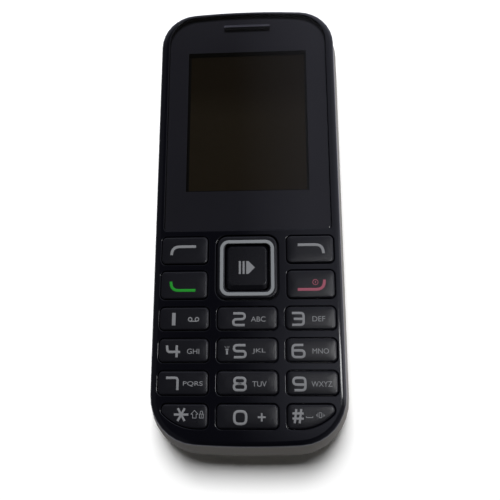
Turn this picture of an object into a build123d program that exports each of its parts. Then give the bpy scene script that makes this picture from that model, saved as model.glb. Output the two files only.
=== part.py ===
from build123d import *
import os
from math import cos, radians, sin

# A candybar phone with a keypad, lying on its back. Millimetres. The origin is at the middle of the flat back,
# +X to the phone's right as seen from the front, +Y to the earpiece end, +Z out of the front face.

os.makedirs("parts", exist_ok=True)

# General
overrun = 1.0                    # how far cuts run past a face
seat_gap = 0.05                  # between flat faces that only rest on each other

# Body outline
body_length = 107.5
body_width = 45.0
end_bow = 1.2                    # the ends swell by this much past straight
top_corner = 10.0
bottom_corner = 12.0
back_round = 5.4                 # turns the sides into the flat back
side_flat = 0.1                  # upright band where the body is widest
shoulder_height = 3.1            # from the widest level up to the parting line
shoulder_side_inset = 1.0
shoulder_top_inset = 0.95
shoulder_bottom_inset = 2.4
rim_top_corner = 9.0
rim_bottom_corner = 10.6
shoulder_turn = 50.0             # degrees, how far the shoulder curve turns
shoulder_steps = 3

# Battery cover
cover_wall = 1.0
parting_gap = 0.2
cover_gap = 0.3                  # between the cover and the housing inside it
grille_slots = 5
grille_pitch = 1.7
grille_slot_length = 8.0
grille_slot_width = 0.8
port_notch_gap = 0.15

# Battery and its bay
battery_side_margin = 6.0        # from the body's sides to the battery
battery_end_margin = 24.35       # from the rim outline's bottom end to the battery
battery_speaker_gap = 1.0        # from the battery's other end to the loudspeaker's fence
battery_thickness = 4.0
battery_round = 1.0
battery_floor_gap = 0.3
battery_side_gap = 0.15
battery_top_gap = 0.2
bay_wall = 0.7
bay_floor = 0.8

# Rear housing
housing_wall = 0.8
housing_round = 3.5
lip_gap = 0.1                    # between the housing's lip and the front cover's skirt
component_space = 1.1            # between the bay floor and the board
component_gap = 0.2
port_side_margin = 1.2           # from the charging socket to the side of the socket block
port_block_rise = 0.6            # of the socket block above the housing's rear face
hook_length = 5.0
hook_height = 0.5
hook_reach = 0.35
hook_slack = 0.2
side_hook_shares = (0.15, -0.3, -0.67)   # along the body, of its half length
end_hook_place = 6.0

# Front cover
lattice_thickness = 1.4
ledge_thickness = 0.8
front_draw_in = 0.3              # the sides lean in by this much from the parting line to the front
front_edge_round = 0.9

# Window and display
window_side_margin = 2.3         # from the rim outline's sides to the window
window_top_margin = 1.3          # from the rim outline's top end to the window
window_foot = 10.27              # of the window below the display
window_top_corner = 7.2
window_bottom_corner = 1.0
window_thickness = 1.1
window_edge_gap = 0.08
window_edge_round = 0.15
gasket_thickness = 0.1
gasket_inset = 0.4
display_side_margin = 8.5        # from the body's sides to the display
display_top_margin = 11.55       # from the rim outline's top end to the display
mask_margin = 0.48               # clear margin round the display in the gasket
opening_margin = 1.0             # round the display, in the front cover's ledge
ear_slot_length = 11.4
ear_slot_width = 0.75
ear_slot_margin = 5.4            # from the rim outline's top end to the slot's middle
ear_mesh_length = 13.0
ear_mesh_width = 2.2
ear_mesh_thickness = 0.15

# Display module
lcd_side_border = 2.5
lcd_top_border = 2.2
lcd_bottom_border = 6.6
lcd_panel_thickness = 1.0
lcd_backlight_thickness = 0.5
lcd_frame_wall = 0.4
lcd_frame_floor = 0.4
lcd_fit = 0.1
lcd_depth = 0.1                  # from the ledge down to the panel
flex_width = 11.0
flex_thickness = 0.1
flex_reach = 1.6
flex_slack = 0.5

# Keypad
keypad_side_margin = 2.98        # from the body's sides to the keys
keypad_end_margin = 4.095        # from the rim outline's bottom end to the keys
keypad_window_gap = 1.31         # from the keys to the window
keypad_corner = 7.2              # outer lower corner of the star and hash keys
function_inner_edge = 8.78
function_key_height = 6.5
function_row_gap = 1.4
digit_inner_edge = 8.34
digit_middle_half_width = 6.71
digit_key_height = 5.27
digit_row_gap = 1.615
digit_first_gap = 1.6            # between the call key and the first digit row
key_corner = 1.2
key_gap = 0.2                    # between a key and the lattice round it
key_proud = 0.4
key_edge_round = 0.3
key_flange = 0.5
key_flange_margin = 0.4
key_flange_gap = 0.3             # between a key's flange and the lattice above it
key_travel = 0.3
key_slack = 0.05                 # left under a key when it is fully pressed

# Silicone mat, domes and lights
mat_web = 0.5
mat_rim = 1.0
mat_side_gap = 0.2
mat_plunger_radius = 0.9
mat_plunger_length = 0.6
mat_plunger_gap = 0.15
film_thickness = 0.1
dome_radius = 2.0
nav_dome_radius = 1.6
dome_height = 0.4
dome_metal = 0.1
dome_hole_margin = 0.2
led_length = 1.6
led_width = 0.8
led_height = 0.5
led_margin = 0.3

# Navigation ring, its trim, the select key and the rocker plate
nav_half_width = 7.05
nav_half_height = 7.4
nav_corner = 2.5
nav_gap = 0.3
nav_flange = 0.4
nav_flange_margin = 0.35
nav_flange_gap = 0.55
nav_base_proud = 0.4
nav_base_round = 0.45
nav_crest_proud = 0.7
nav_opening_inset = 2.05         # from the aperture to the ring's inner opening
trim_inset = 0.95                # from the aperture to the silver band, at its sides
trim_end_inset = 1.08            # and at its upper and lower ends
trim_width = 0.95
trim_corner = 2.0
trim_round = 0.12
select_gap = 0.4
select_proud = 0.35
select_bevel = 0.4
select_depth = 1.1               # of the select key's cap below the front face
select_stem_radius = 1.2
nav_plate_thickness = 0.4
nav_plate_gap = 0.55             # between the rocker plate and the ring
nav_plate_hole = 2.0
nav_nib_radius = 0.8
nav_nib_length = 0.2
nav_dome_reach = 5.2             # from the middle to each outer dome
nav_opening_gap = 0.2            # between the ring's flange and the mat

# Main board and what it carries
board_thickness = 0.8
board_edge_gap = 0.3
shield_height = 0.9
shield_wall = 0.15
shield_widths = (14.0, 13.0)
shield_gap = 1.5                 # between the two cans
shield_end_gap = 1.5             # from the cans to the level of the battery's top end
shield_holder_gap = 1.0          # from the cans to the SIM holder
chip_height = 0.6
chip_sizes = (9.0, 7.0)
sim_width = 15.0
sim_length = 17.0
sim_x = -8.0
card_width = 12.5
card_length = 15.0
card_x = 8.5
holder_end_gap = 2.5             # from the SIM holder to the level of the battery's lower end
holder_height = 1.75
holder_wall = 0.25
holder_slot_height = 0.9
holder_margin = 0.2

# Screws
screw_head_radius = 1.1
screw_head_height = 0.8
screw_radius = 0.7
screw_clearance = 0.1
screw_thread_gap = 0.02
screw_recess = 4.1               # from the housing's rear face up to the seat of the head
screw_engagement = 2.8           # of the thread in the front cover's boss
socket_radius = 0.4
socket_depth = 0.4
boss_radius = 1.1
post_radius = 1.9
top_screw_side_margin = 6.1      # from the body's sides to the top screws
top_screw_end_margin = 6.85
side_screw_margin = 4.3          # from the body's sides to the other screws
low_screw_margin = 2.42          # from the window's lower edge up to the lowest screws

# Sound
loudspeaker_radius = 6.5
loudspeaker_height = 3.0
loudspeaker_x = -8.0
loudspeaker_end_margin = 21.5    # from the rim outline's top end to its middle
loudspeaker_magnet_radius = 4.2
loudspeaker_magnet_height = 1.2
speaker_fit = 0.2
speaker_fence = 0.6
speaker_fence_height = 2.2
speaker_gasket_thickness = 0.3
speaker_gasket_width = 1.0
earpiece_length = 11.0
earpiece_width = 5.4
earpiece_height = 1.9
microphone_radius = 2.0
microphone_height = 0.9
microphone_x = 7.5
microphone_end_margin = 6.75     # from the rim outline's bottom end to its middle
boot_wall = 0.4
boot_gap = 0.05
microphone_hole = 0.5

# Vibration motor, lying across the body
motor_radius = 2.0
motor_length = 8.0
motor_x = -6.0
motor_bay_gap = 0.5              # between the battery bay and the motor's cradle
motor_gap = 0.5                  # between the housing's skin and the turning weight
motor_bearing_radius = 1.2
motor_bearing_length = 0.5
shaft_radius = 0.4
shaft_clearance = 0.03
shaft_inset = 2.0                # of the shaft into the motor
shaft_gap = 0.4                  # between the bearing and the weight
weight_radius = 2.2
weight_length = 3.4
cradle_rib = 1.2
cradle_width = 5.0
cradle_gap = 0.05

# Battery contacts
connector_width = 10.0
connector_depth = 3.6
connector_place = 9.0
connector_drop = 4.4             # from the board down
connector_gap = 0.35             # from the battery's end
spring_count = 3
spring_pitch = 2.8
spring_width = 1.0
spring_thickness = 0.28
spring_height = 1.4
spring_rise = 0.4                # above the connector's lower face

# Sockets and torch at the top end
jack_x = -10.5
jack_drop = 2.5                  # from the board down to the socket's axis
jack_body_width = 6.0
jack_body_length = 10.7
jack_body_height = 4.8
jack_nose_radius = 2.35
jack_bore_radius = 1.8
jack_bore_depth = 13.0
jack_mouth_inset = 1.2           # from the body's end to the socket's mouth
usb_x = 9.0
usb_width = 7.6
usb_height = 2.7
usb_depth = 5.6
usb_wall = 0.3
usb_tongue_width = 4.0
usb_tongue_height = 0.6
usb_mouth_inset = 0.7
port_fit = 0.15                  # between the sockets and the housing round them
torch_width = 3.0
torch_depth = 1.6
torch_drop = 2.6
torch_lens_radius = 1.5
torch_lens_length = 1.6

# Antenna
antenna_thickness = 0.2
antenna_width = 25.0
antenna_depth = 4.6
antenna_end_margin = 7.15        # from the rim outline's bottom end to its middle
antenna_slot = 0.7
antenna_slots = 4
antenna_leg_width = 1.4

# Plan outline, worked out
half_width = body_width / 2
half_length = body_length / 2
rim_half_width = half_width - shoulder_side_inset
rim_top = half_length - shoulder_top_inset
rim_bottom = -half_length + shoulder_bottom_inset
housing_inset = cover_wall + cover_gap
cavity_inset = housing_inset + housing_wall
front_wall = housing_inset - lip_gap
board_inset = cavity_inset + board_edge_gap
mat_inset = cavity_inset + mat_side_gap

# Keypad rows from the bottom end up, worked out
keypad_half_width = half_width - keypad_side_margin
digit_pitch = digit_key_height + digit_row_gap
digit_names = (
    ("key_1", "key_2", "key_3"),
    ("key_4", "key_5", "key_6"),
    ("key_7", "key_8", "key_9"),
    ("key_star", "key_0", "key_hash"),
)
corner_keys = ("key_star", "key_hash")
corner_key_round = min(keypad_corner, keypad_half_width - digit_inner_edge - key_corner - key_gap)
keypad_low = rim_bottom + keypad_end_margin
digit_top = keypad_low + len(digit_names) * digit_pitch - digit_row_gap
call_low = digit_top + digit_first_gap
call_high = call_low + function_key_height
soft_low = call_high + function_row_gap
keypad_top = soft_low + function_key_height
nav_middle = (keypad_top + call_low) / 2

# Window and display in the space above the keypad, worked out
window_half_width = rim_half_width - window_side_margin
window_bottom = keypad_top + keypad_window_gap
display_width = body_width - 2 * display_side_margin
display_low = window_bottom + window_foot
display_high = rim_top - display_top_margin
display_height = display_high - display_low
display_middle = (display_high + display_low) / 2
ear_slot_place = rim_top - ear_slot_margin

# Places inside, worked out
loudspeaker_place = (loudspeaker_x, rim_top - loudspeaker_end_margin)
fence_radius = loudspeaker_radius + speaker_fit
battery_width = body_width - 2 * battery_side_margin
battery_near = rim_bottom + battery_end_margin
battery_far = loudspeaker_place[1] - fence_radius - speaker_fence - battery_speaker_gap
battery_length = battery_far - battery_near
battery_middle = (battery_far + battery_near) / 2
holder_middle = battery_near + holder_end_gap + sim_length / 2
sim_place = (sim_x, holder_middle)
card_place = (card_x, holder_middle)
shield_far = battery_far - shield_end_gap
shield_near = holder_middle + sim_length / 2 + shield_holder_gap
shield_middle = (shield_far + shield_near) / 2
shield_places = (
    (-(shield_gap + shield_widths[0]) / 2, shield_middle),
    ((shield_gap + shield_widths[1]) / 2, shield_middle),
)
port_block_width = 2 * (usb_x + usb_width / 2 + port_side_margin)
motor_place = (motor_x, battery_near - battery_side_gap - bay_wall - motor_bay_gap - cradle_width / 2)
microphone_place = (microphone_x, rim_bottom + microphone_end_margin)
antenna_place = rim_bottom + antenna_end_margin

# Levels from the back to the front, worked out
widest_level = back_round + side_flat
rim_level = widest_level + shoulder_height
front_low = rim_level + parting_gap
battery_low = cover_wall + battery_floor_gap
battery_high = battery_low + battery_thickness
bay_floor_low = battery_high + battery_top_gap
bay_floor_high = bay_floor_low + bay_floor
board_low = bay_floor_high + component_space
board_high = board_low + board_thickness
dome_top = board_high + dome_height
plunger_low = dome_top + mat_plunger_gap
mat_low = plunger_low + mat_plunger_length
mat_high = mat_low + mat_web
key_low = mat_high + key_travel + key_slack
key_flange_high = key_low + key_flange
lattice_low = key_flange_high + key_flange_gap
front_top = lattice_low + lattice_thickness
key_top = front_top + key_proud
window_low = front_top - window_thickness
ledge_high = window_low - gasket_thickness
ledge_low = ledge_high - ledge_thickness
housing_low = battery_low
skin_high = housing_low + housing_wall
lip_top = mat_high + seat_gap
port_block_low = housing_low + port_block_rise
screw_seat = housing_low + screw_recess
jack_level = board_low - jack_drop
motor_level = skin_high + motor_gap + weight_radius

def key_areas():
    """Left, right, low and high edge of each key's aperture in the front cover."""
    areas = {
        "key_soft_left": (-keypad_half_width, -function_inner_edge, soft_low, keypad_top),
        "key_soft_right": (function_inner_edge, keypad_half_width, soft_low, keypad_top),
        "key_call": (-keypad_half_width, -function_inner_edge, call_low, call_high),
        "key_end": (function_inner_edge, keypad_half_width, call_low, call_high),
    }
    columns = (
        (-keypad_half_width, -digit_inner_edge),
        (-digit_middle_half_width, digit_middle_half_width),
        (digit_inner_edge, keypad_half_width),
    )
    for row, names in enumerate(digit_names):
        high = digit_top - row * digit_pitch
        for name, (left, right) in zip(names, columns):
            areas[name] = (left, right, high - digit_key_height, high)
    return areas


areas = key_areas()


def middle(name):
    """Middle of a key, in plan."""
    left, right, low, high = areas[name]
    return (left + right) / 2, (low + high) / 2


# Helpers


def slab(outline, low, high):
    """A flat outline made solid between two levels."""
    return extrude(Pos(0, 0, low) * outline, amount=high - low, dir=(0, 0, 1))


def block(left, right, near, far, low, high):
    """A box given by its six faces."""
    place = Pos((left + right) / 2, (near + far) / 2, (low + high) / 2)
    return place * Box(right - left, far - near, high - low)


def post(x, y, radius, low, high):
    """An upright round post."""
    return Pos(x, y, (low + high) / 2) * Cylinder(radius, high - low)


def bar_along_x(radius, left, right, y, z):
    """A round bar lying across the body."""
    return Pos((left + right) / 2, y, z) * Rot(0, 90, 0) * Cylinder(radius, right - left)


def bar_along_y(radius, near, far, x, z):
    """A round bar lying along the body."""
    return Pos(x, (near + far) / 2, z) * Rot(90, 0, 0) * Cylinder(radius, far - near)


def rounded(half_x, half_y, corner, y=0):
    """A rounded rectangle in plan, on the middle line."""
    return Pos(0, y) * RectangleRounded(2 * half_x, 2 * half_y, corner)


def plan(side, top, bottom, upper_corner, lower_corner):
    """The phone's outline: straight sides, bowed ends and round corners."""
    upper_left = (-side, top - end_bow)
    upper_right = (side, top - end_bow)
    lower_left = (-side, bottom + end_bow)
    lower_right = (side, bottom + end_bow)
    edges = [
        Line(lower_left, upper_left),
        ThreePointArc(upper_left, (0, top), upper_right),
        Line(upper_right, lower_right),
        ThreePointArc(lower_right, (0, bottom), lower_left),
    ]
    outline = make_face(edges)
    outline = fillet(outline.vertices().sort_by(Axis.Y)[-2:], upper_corner)
    return fillet(outline.vertices().sort_by(Axis.Y)[:2], lower_corner)


def shoulder_plan(share, inset):
    """The outline between the widest level (share 0) and the parting line (share 1), drawn in by inset."""
    return plan(
        half_width - share * shoulder_side_inset - inset,
        half_length - share * shoulder_top_inset - inset,
        -half_length + share * shoulder_bottom_inset + inset,
        top_corner + share * (rim_top_corner - top_corner) - inset,
        bottom_corner + share * (rim_bottom_corner - bottom_corner) - inset,
    )


def rim_plan(inset):
    """The outline at the parting line, drawn in by inset."""
    return shoulder_plan(1, inset)


def body_shape(inset):
    """Everything inside the cover's skin, drawn in by inset: rounded back, widest band and shoulder."""
    lower = slab(shoulder_plan(0, inset), inset, widest_level)
    lower = fillet(lower.edges().group_by(Axis.Z)[0], back_round - inset)
    sections = []
    for step in range(shoulder_steps + 1):
        turn = radians(shoulder_turn * step / shoulder_steps)
        full = radians(shoulder_turn)
        level = widest_level + shoulder_height * sin(turn) / sin(full)
        share = (1 - cos(turn)) / (1 - cos(full))
        sections.append(Pos(0, 0, level) * shoulder_plan(share, inset))
    return lower + loft(sections)


# Casing


def ear_slot(low, high):
    """The earpiece's slot, with round ends."""
    return slab(Pos(0, ear_slot_place) * SlotOverall(ear_slot_length, ear_slot_width), low, high)


def window_plan(inset):
    """The window's outline: it follows the body's top end."""
    top = rim_top - window_top_margin - inset
    side = window_half_width - inset
    bottom = window_bottom + inset
    edges = [
        Line((-side, bottom), (-side, top - end_bow)),
        ThreePointArc((-side, top - end_bow), (0, top), (side, top - end_bow)),
        Line((side, top - end_bow), (side, bottom)),
        Line((side, bottom), (-side, bottom)),
    ]
    outline = make_face(edges)
    outline = fillet(outline.vertices().sort_by(Axis.Y)[-2:], window_top_corner - inset)
    return fillet(outline.vertices().sort_by(Axis.Y)[:2], window_bottom_corner)


def key_plan(name, grow):
    """A key's aperture in plan, widened by grow. The bottom corner keys follow the body's round corners."""
    left, right, low, high = areas[name]
    x, y = middle(name)
    width = right - left + 2 * grow
    height = high - low + 2 * grow
    if name not in corner_keys:
        return Pos(x, y) * RectangleRounded(width, height, key_corner + grow)
    limit = Pos(0, keypad_low / 2) * RectangleRounded(
        2 * (keypad_half_width + grow), -keypad_low + 2 * grow, corner_key_round + grow
    )
    outline = (Pos(abs(x), y) * Rectangle(width, height)) & limit
    corners = outline.vertices().sort_by(Axis.X)
    outline = fillet([corners[0], corners[1], corners[-1]], key_corner + grow)
    return outline if x > 0 else mirror(outline, about=Plane.YZ)


def nav_plan(inset, corner):
    """The navigation aperture in plan, drawn in by inset, with its own corners."""
    return rounded(nav_half_width - inset, nav_half_height - inset, corner, nav_middle)


def trim_plan(inset, corner):
    """The silver band's outline, drawn in by inset."""
    return rounded(
        nav_half_width - trim_inset - inset, nav_half_height - trim_end_inset - inset, corner, nav_middle
    )


def screw_places():
    """The six screws: two at the top corners and two pairs at the sides."""
    places = []
    for side in (-1, 1):
        places.append((side * (half_width - top_screw_side_margin), half_length - top_screw_end_margin))
        for y in (display_middle, window_bottom + low_screw_margin):
            places.append((side * (half_width - side_screw_margin), y))
    return places


def hook_blocks(reach, slack):
    """The housing's snap hooks, or with slack the pockets that take them."""
    low = (front_low + lip_top - hook_height) / 2 - slack
    high = low + hook_height + 2 * slack
    half = hook_length / 2 + slack
    start = housing_wall / 2
    side = rim_half_width - housing_inset
    end = rim_bottom + housing_inset
    hooks = []
    for share in side_hook_shares:
        y = share * half_length
        hooks.append(block(side - start, side + reach, y - half, y + half, low, high))
        hooks.append(block(-side - reach, -side + start, y - half, y + half, low, high))
    for x in (-end_hook_place, end_hook_place):
        hooks.append(block(x - half, x + half, end - reach, end + start, low, high))
    return hooks


def front_cover():
    """The black front half: skirt, lattice round the keys, and ledge that carries the window."""
    shell = loft([Pos(0, 0, front_low) * rim_plan(0), Pos(0, 0, front_top) * rim_plan(front_draw_in)], ruled=True)
    shell = fillet(shell.edges().group_by(Axis.Z)[-1], front_edge_round)
    inside = rim_plan(front_wall)
    shell -= slab(inside, front_low - overrun, ledge_low)
    keypad_side = block(
        -half_width, half_width, rim_bottom, (window_bottom + keypad_top) / 2, ledge_low, lattice_low
    )
    shell -= slab(inside, ledge_low, lattice_low) & keypad_side
    shell -= slab(window_plan(0), ledge_high, front_top + overrun)
    opening = Pos(0, display_middle) * Rectangle(
        display_width + 2 * opening_margin, display_height + 2 * opening_margin
    )
    shell -= slab(opening, ledge_low, ledge_high)
    shell -= ear_slot(ledge_low, ledge_high)
    for name in areas:
        shell -= slab(key_plan(name, 0), lattice_low, front_top + overrun)
    shell -= slab(nav_plan(0, nav_corner), lattice_low, front_top + overrun)
    for x, y in screw_places():
        shell += post(x, y, boss_radius, board_low + component_gap / 2, ledge_low + seat_gap)
        hole = screw_radius + screw_thread_gap
        shell -= post(x, y, hole, board_low - overrun, board_low + screw_engagement + seat_gap)
    for pocket in hook_blocks(hook_reach, hook_slack):
        shell -= pocket & slab(rim_plan(0), front_low, lip_top + overrun)
    return shell


def display_window():
    """The smoked panel over the display, with the earpiece slot."""
    panel = slab(window_plan(window_edge_gap), window_low, front_top)
    panel = fillet(panel.edges().group_by(Axis.Z)[-1], window_edge_round)
    return panel - ear_slot(window_low, front_top)


def window_gasket():
    """The adhesive frame under the window."""
    frame = slab(window_plan(gasket_inset), ledge_high, window_low)
    clear = Pos(0, display_middle) * Rectangle(
        display_width + 2 * mask_margin, display_height + 2 * mask_margin
    )
    return frame - slab(clear, ledge_high, window_low) - ear_slot(ledge_high, window_low)


def earpiece_mesh():
    """The fine mesh behind the earpiece slot."""
    high = ledge_low - seat_gap
    outline = Pos(0, ear_slot_place) * SlotOverall(ear_mesh_length, ear_mesh_width)
    return slab(outline, high - ear_mesh_thickness, high)


def port_block_shape(gap):
    """The part of the body's top end that belongs to the housing, widened by gap for the cover's notch."""
    half = port_block_width / 2 + gap
    near = rim_top - housing_inset - housing_wall
    return block(-half, half, near, half_length + overrun, port_block_low - gap, rim_level + gap)


def port_holes(fit):
    """The ways through the top end for the sockets and the torch lens."""
    near = rim_top - cavity_inset - end_bow - overrun
    far = half_length + overrun
    jack = bar_along_y(jack_nose_radius + fit, near, far, jack_x, jack_level)
    half = usb_width / 2 + fit
    usb = block(usb_x - half, usb_x + half, near, far, board_low - usb_height - fit, board_low + fit)
    lens = bar_along_y(torch_lens_radius + fit, near, far, 0, torch_level())
    return [jack, usb, lens]


def torch_level():
    """Height of the torch's beam."""
    return board_low - torch_drop / 2


def battery_bay(inset):
    """The space round the battery: inset 0 is the pocket, a negative inset the walls round it."""
    side = battery_width / 2 + battery_side_gap - inset
    half = battery_length / 2 + battery_side_gap - inset
    return side, battery_middle - half, battery_middle + half


def rear_housing():
    """The black inner half: skin, lip, battery bay, screw posts, loudspeaker fence and socket block."""
    outer = slab(rim_plan(housing_inset), housing_low, lip_top)
    outer = fillet(outer.edges().group_by(Axis.Z)[0], housing_round)
    cavity = slab(rim_plan(cavity_inset), skin_high, lip_top + overrun)
    cavity = fillet(cavity.edges().group_by(Axis.Z)[0], housing_round - housing_wall)
    housing = outer - cavity
    side, near, far = battery_bay(-bay_wall)
    housing += block(-side, side, near, far, housing_low, bay_floor_high) & outer
    x, y = loudspeaker_place
    fence = post(x, y, fence_radius + speaker_fence, housing_low, skin_high + speaker_fence_height)
    housing += fence & outer
    for x, y in screw_places():
        housing += post(x, y, post_radius, housing_low, board_low - seat_gap) & outer
    housing += port_block_shape(0) & body_shape(seat_gap)
    housing += motor_cradle()
    side, near, far = battery_bay(0)
    housing -= block(-side, side, near, far, housing_low - overrun, bay_floor_low)
    x, y = loudspeaker_place
    housing -= post(x, y, fence_radius, skin_high, board_low)
    housing -= post(x, y, loudspeaker_radius - speaker_gasket_width, housing_low - overrun, skin_high)
    for place, width, length in ((sim_place, sim_width, sim_length), (card_place, card_width, card_length)):
        half_x = width / 2 + holder_margin
        half_y = length / 2 + holder_margin
        x, y = place
        housing -= block(x - half_x, x + half_x, y - half_y, y + half_y, bay_floor_low, bay_floor_high)
    half = connector_width / 2 + component_gap
    housing -= block(
        connector_place - half,
        connector_place + half,
        far - overrun,
        far + bay_wall,
        board_low - connector_drop - component_gap,
        bay_floor_high,
    )
    for x, y in screw_places():
        housing -= post(x, y, screw_radius + screw_clearance, skin_high, board_low)
        housing -= post(x, y, screw_head_radius + screw_clearance, housing_low - overrun, screw_seat)
    housing -= jack_body(port_fit)
    for hole in port_holes(port_fit):
        housing -= hole
    for hook in hook_blocks(hook_reach, 0):
        housing += hook
    return housing


def motor_cradle():
    """Two ribs that carry the vibration motor."""
    x, y = motor_place
    half = motor_length / 2
    ribs = Part()
    for rib_x in (x - half + cradle_rib, x + half - cradle_rib):
        ribs += block(
            rib_x - cradle_rib / 2,
            rib_x + cradle_rib / 2,
            y - cradle_width / 2,
            y + cradle_width / 2,
            housing_low + housing_wall / 2,
            motor_level,
        )
    return ribs - bar_along_x(motor_radius + cradle_gap, x - motor_length, x + motor_length, y, motor_level)


def battery_cover():
    """The grey shell over the back and the sides."""
    shell = body_shape(0) - body_shape(cover_wall)
    x, y = loudspeaker_place
    for slot in range(grille_slots):
        offset = (slot - (grille_slots - 1) / 2) * grille_pitch
        outline = Pos(x, y + offset) * SlotOverall(grille_slot_length, grille_slot_width)
        shell -= slab(outline, -overrun, cover_wall + overrun)
    return shell - port_block_shape(port_notch_gap)


# Keys


def key(name):
    """One key: a cap with rounded edges on a wider flange."""
    cap = slab(key_plan(name, -key_gap), key_flange_high, key_top)
    cap = fillet(cap.edges().group_by(Axis.Z)[-1], key_edge_round)
    return cap + slab(key_plan(name, key_flange_margin), key_low, key_flange_high)


nav_flange_high = lattice_low - nav_flange_gap
nav_low = nav_flange_high - nav_flange
nav_base_top = front_top + nav_base_proud
nav_plate_high = nav_low - nav_plate_gap
nav_plate_low = nav_plate_high - nav_plate_thickness
select_low = dome_top + key_travel + key_slack


def nav_ring():
    """The rocker ring, with its flange under the lattice."""
    opening = nav_plan(nav_opening_inset, key_corner)
    ring = slab(nav_plan(nav_gap, nav_corner - nav_gap), nav_flange_high, nav_base_top)
    ring = fillet(ring.edges().group_by(Axis.Z)[-1], nav_base_round)
    ring += slab(nav_plan(-nav_flange_margin, nav_corner + nav_flange_margin), nav_low, nav_flange_high)
    return ring - slab(opening, nav_low, nav_base_top)


def nav_trim():
    """The silver band on the ring."""
    crest = front_top + nav_crest_proud
    band = slab(trim_plan(0, trim_corner), nav_base_top, crest)
    band -= slab(trim_plan(trim_width, trim_corner - trim_width), nav_base_top, crest)
    return fillet(band.edges().group_by(Axis.Z)[-1], trim_round)


def key_select():
    """The middle key: a bevelled cap on a stem that reaches down to the middle dome."""
    inset = nav_opening_inset + select_gap
    cap = slab(nav_plan(inset, key_corner), front_top - select_depth, front_top + select_proud)
    cap = chamfer(cap.edges().group_by(Axis.Z)[-1], select_bevel)
    return cap + post(0, nav_middle, select_stem_radius, select_low, front_top - select_depth)


def nav_dome_places():
    """The four domes under the ring."""
    reach = nav_dome_reach
    return [
        (0, nav_middle + reach),
        (0, nav_middle - reach),
        (-reach, nav_middle),
        (reach, nav_middle),
    ]


def nav_plate():
    """The rocker plate under the ring, with a nib over each of its domes."""
    plate = slab(nav_plan(nav_gap, nav_corner - nav_gap), nav_plate_low, nav_plate_high)
    plate -= post(0, nav_middle, nav_plate_hole, nav_plate_low, nav_plate_high)
    for x, y in nav_dome_places():
        plate += post(x, y, nav_nib_radius, nav_plate_low - nav_nib_length, nav_plate_low)
    return plate


# Under the keys


def under_keypad(inset):
    """The area under the keypad, inside the housing's wall."""
    half = half_width
    high = (window_bottom + keypad_top) / 2
    area = Pos(0, (rim_bottom + high) / 2) * Rectangle(2 * half, high - rim_bottom)
    return rim_plan(inset) & area


def led_places():
    """Six lights between the key columns."""
    x = (digit_inner_edge + digit_middle_half_width) / 2
    places = []
    for row in (0, 1, 2):
        y = digit_top - (row + 1) * digit_pitch + digit_row_gap / 2
        places += [(-x, y), (x, y)]
    return places


def keypad_mat():
    """The silicone mat: a web with a rim under it and a plunger under each key."""
    outline = under_keypad(mat_inset)
    mat = slab(outline, board_high + film_thickness + seat_gap, mat_high)
    mat -= slab(offset(outline, -mat_rim), board_high, mat_low)
    margin = nav_flange_margin + nav_opening_gap
    mat -= slab(nav_plan(-margin, nav_corner + margin), board_high, mat_high)
    for name in areas:
        x, y = middle(name)
        mat += post(x, y, mat_plunger_radius, plunger_low, mat_low)
    x, y = microphone_place
    return mat - post(x, y, microphone_hole, mat_low, mat_high)


def dome(x, y, radius):
    """One snap dome: a thin cap of a sphere."""
    ball = (radius * radius + dome_height * dome_height) / (2 * dome_height)
    centre = Pos(x, y, dome_top - ball)
    shell = centre * Sphere(ball) - centre * Sphere(ball - dome_metal)
    return shell & post(x, y, radius, board_high, dome_top + overrun)


def dome_places():
    """Place and radius of each dome: one under every key and five under the ring and the select key."""
    places = [(middle(name), dome_radius) for name in areas]
    places.append(((0, nav_middle), dome_radius))
    places += [(place, nav_dome_radius) for place in nav_dome_places()]
    return places


def key_domes():
    """All the domes."""
    return [dome(x, y, radius) for (x, y), radius in dome_places()]


def dome_film():
    """The sheet that holds the domes on the board, open round each dome, each light and the microphone."""
    film = slab(under_keypad(mat_inset), board_high, board_high + film_thickness)
    for (x, y), radius in dome_places():
        film -= post(x, y, radius + dome_hole_margin, board_high, board_high + film_thickness)
    half_x = led_length / 2 + led_margin
    half_y = led_width / 2 + led_margin
    for x, y in led_places():
        film -= block(x - half_x, x + half_x, y - half_y, y + half_y, board_high, board_high + film_thickness)
    x, y = microphone_place
    hole = microphone_radius + boot_gap + boot_wall + dome_hole_margin
    return film - post(x, y, hole, board_high, board_high + film_thickness)


def keypad_leds():
    """The lights under the keypad."""
    lights = []
    for x, y in led_places():
        lights.append(Pos(x, y, board_high + led_height / 2) * Box(led_length, led_width, led_height))
    return lights


# Board and electronics


def main_board():
    """The main board, notched round the screw bosses."""
    board = slab(rim_plan(board_inset), board_low, board_high)
    for x, y in screw_places():
        board -= post(x, y, boss_radius + board_edge_gap, board_low, board_high)
    return board


def shield_cans():
    """Two thin metal cans over the chips."""
    cans = []
    length = shield_far - shield_near
    hollow = shield_height - shield_wall
    for (x, y), width in zip(shield_places, shield_widths):
        can = Pos(x, y, board_low - shield_height / 2) * Box(width, length, shield_height)
        inner = Pos(x, y, board_low - hollow / 2)
        can -= inner * Box(width - 2 * shield_wall, length - 2 * shield_wall, hollow)
        cans.append(can)
    return cans


def board_chips():
    """The two large chips under the cans."""
    chips = []
    for (x, y), size in zip(shield_places, chip_sizes):
        chips.append(Pos(x, y, board_low - chip_height / 2) * Box(size, size, chip_height))
    return chips


def holder(place, width, length):
    """A card holder on the board's rear face: a metal tray open at one end."""
    x, y = place
    low = board_low - holder_height
    tray = block(x - width / 2, x + width / 2, y - length / 2, y + length / 2, low, board_low)
    slot_low = low + holder_wall
    half = width / 2 - holder_wall
    slot_far = y + length / 2 - holder_wall
    slot = block(x - half, x + half, y - length / 2 - overrun, slot_far, slot_low, slot_low + holder_slot_height)
    thumb = post(x, y - length / 2, width / 4, low - overrun, slot_low)
    return tray - slot - thumb


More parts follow.
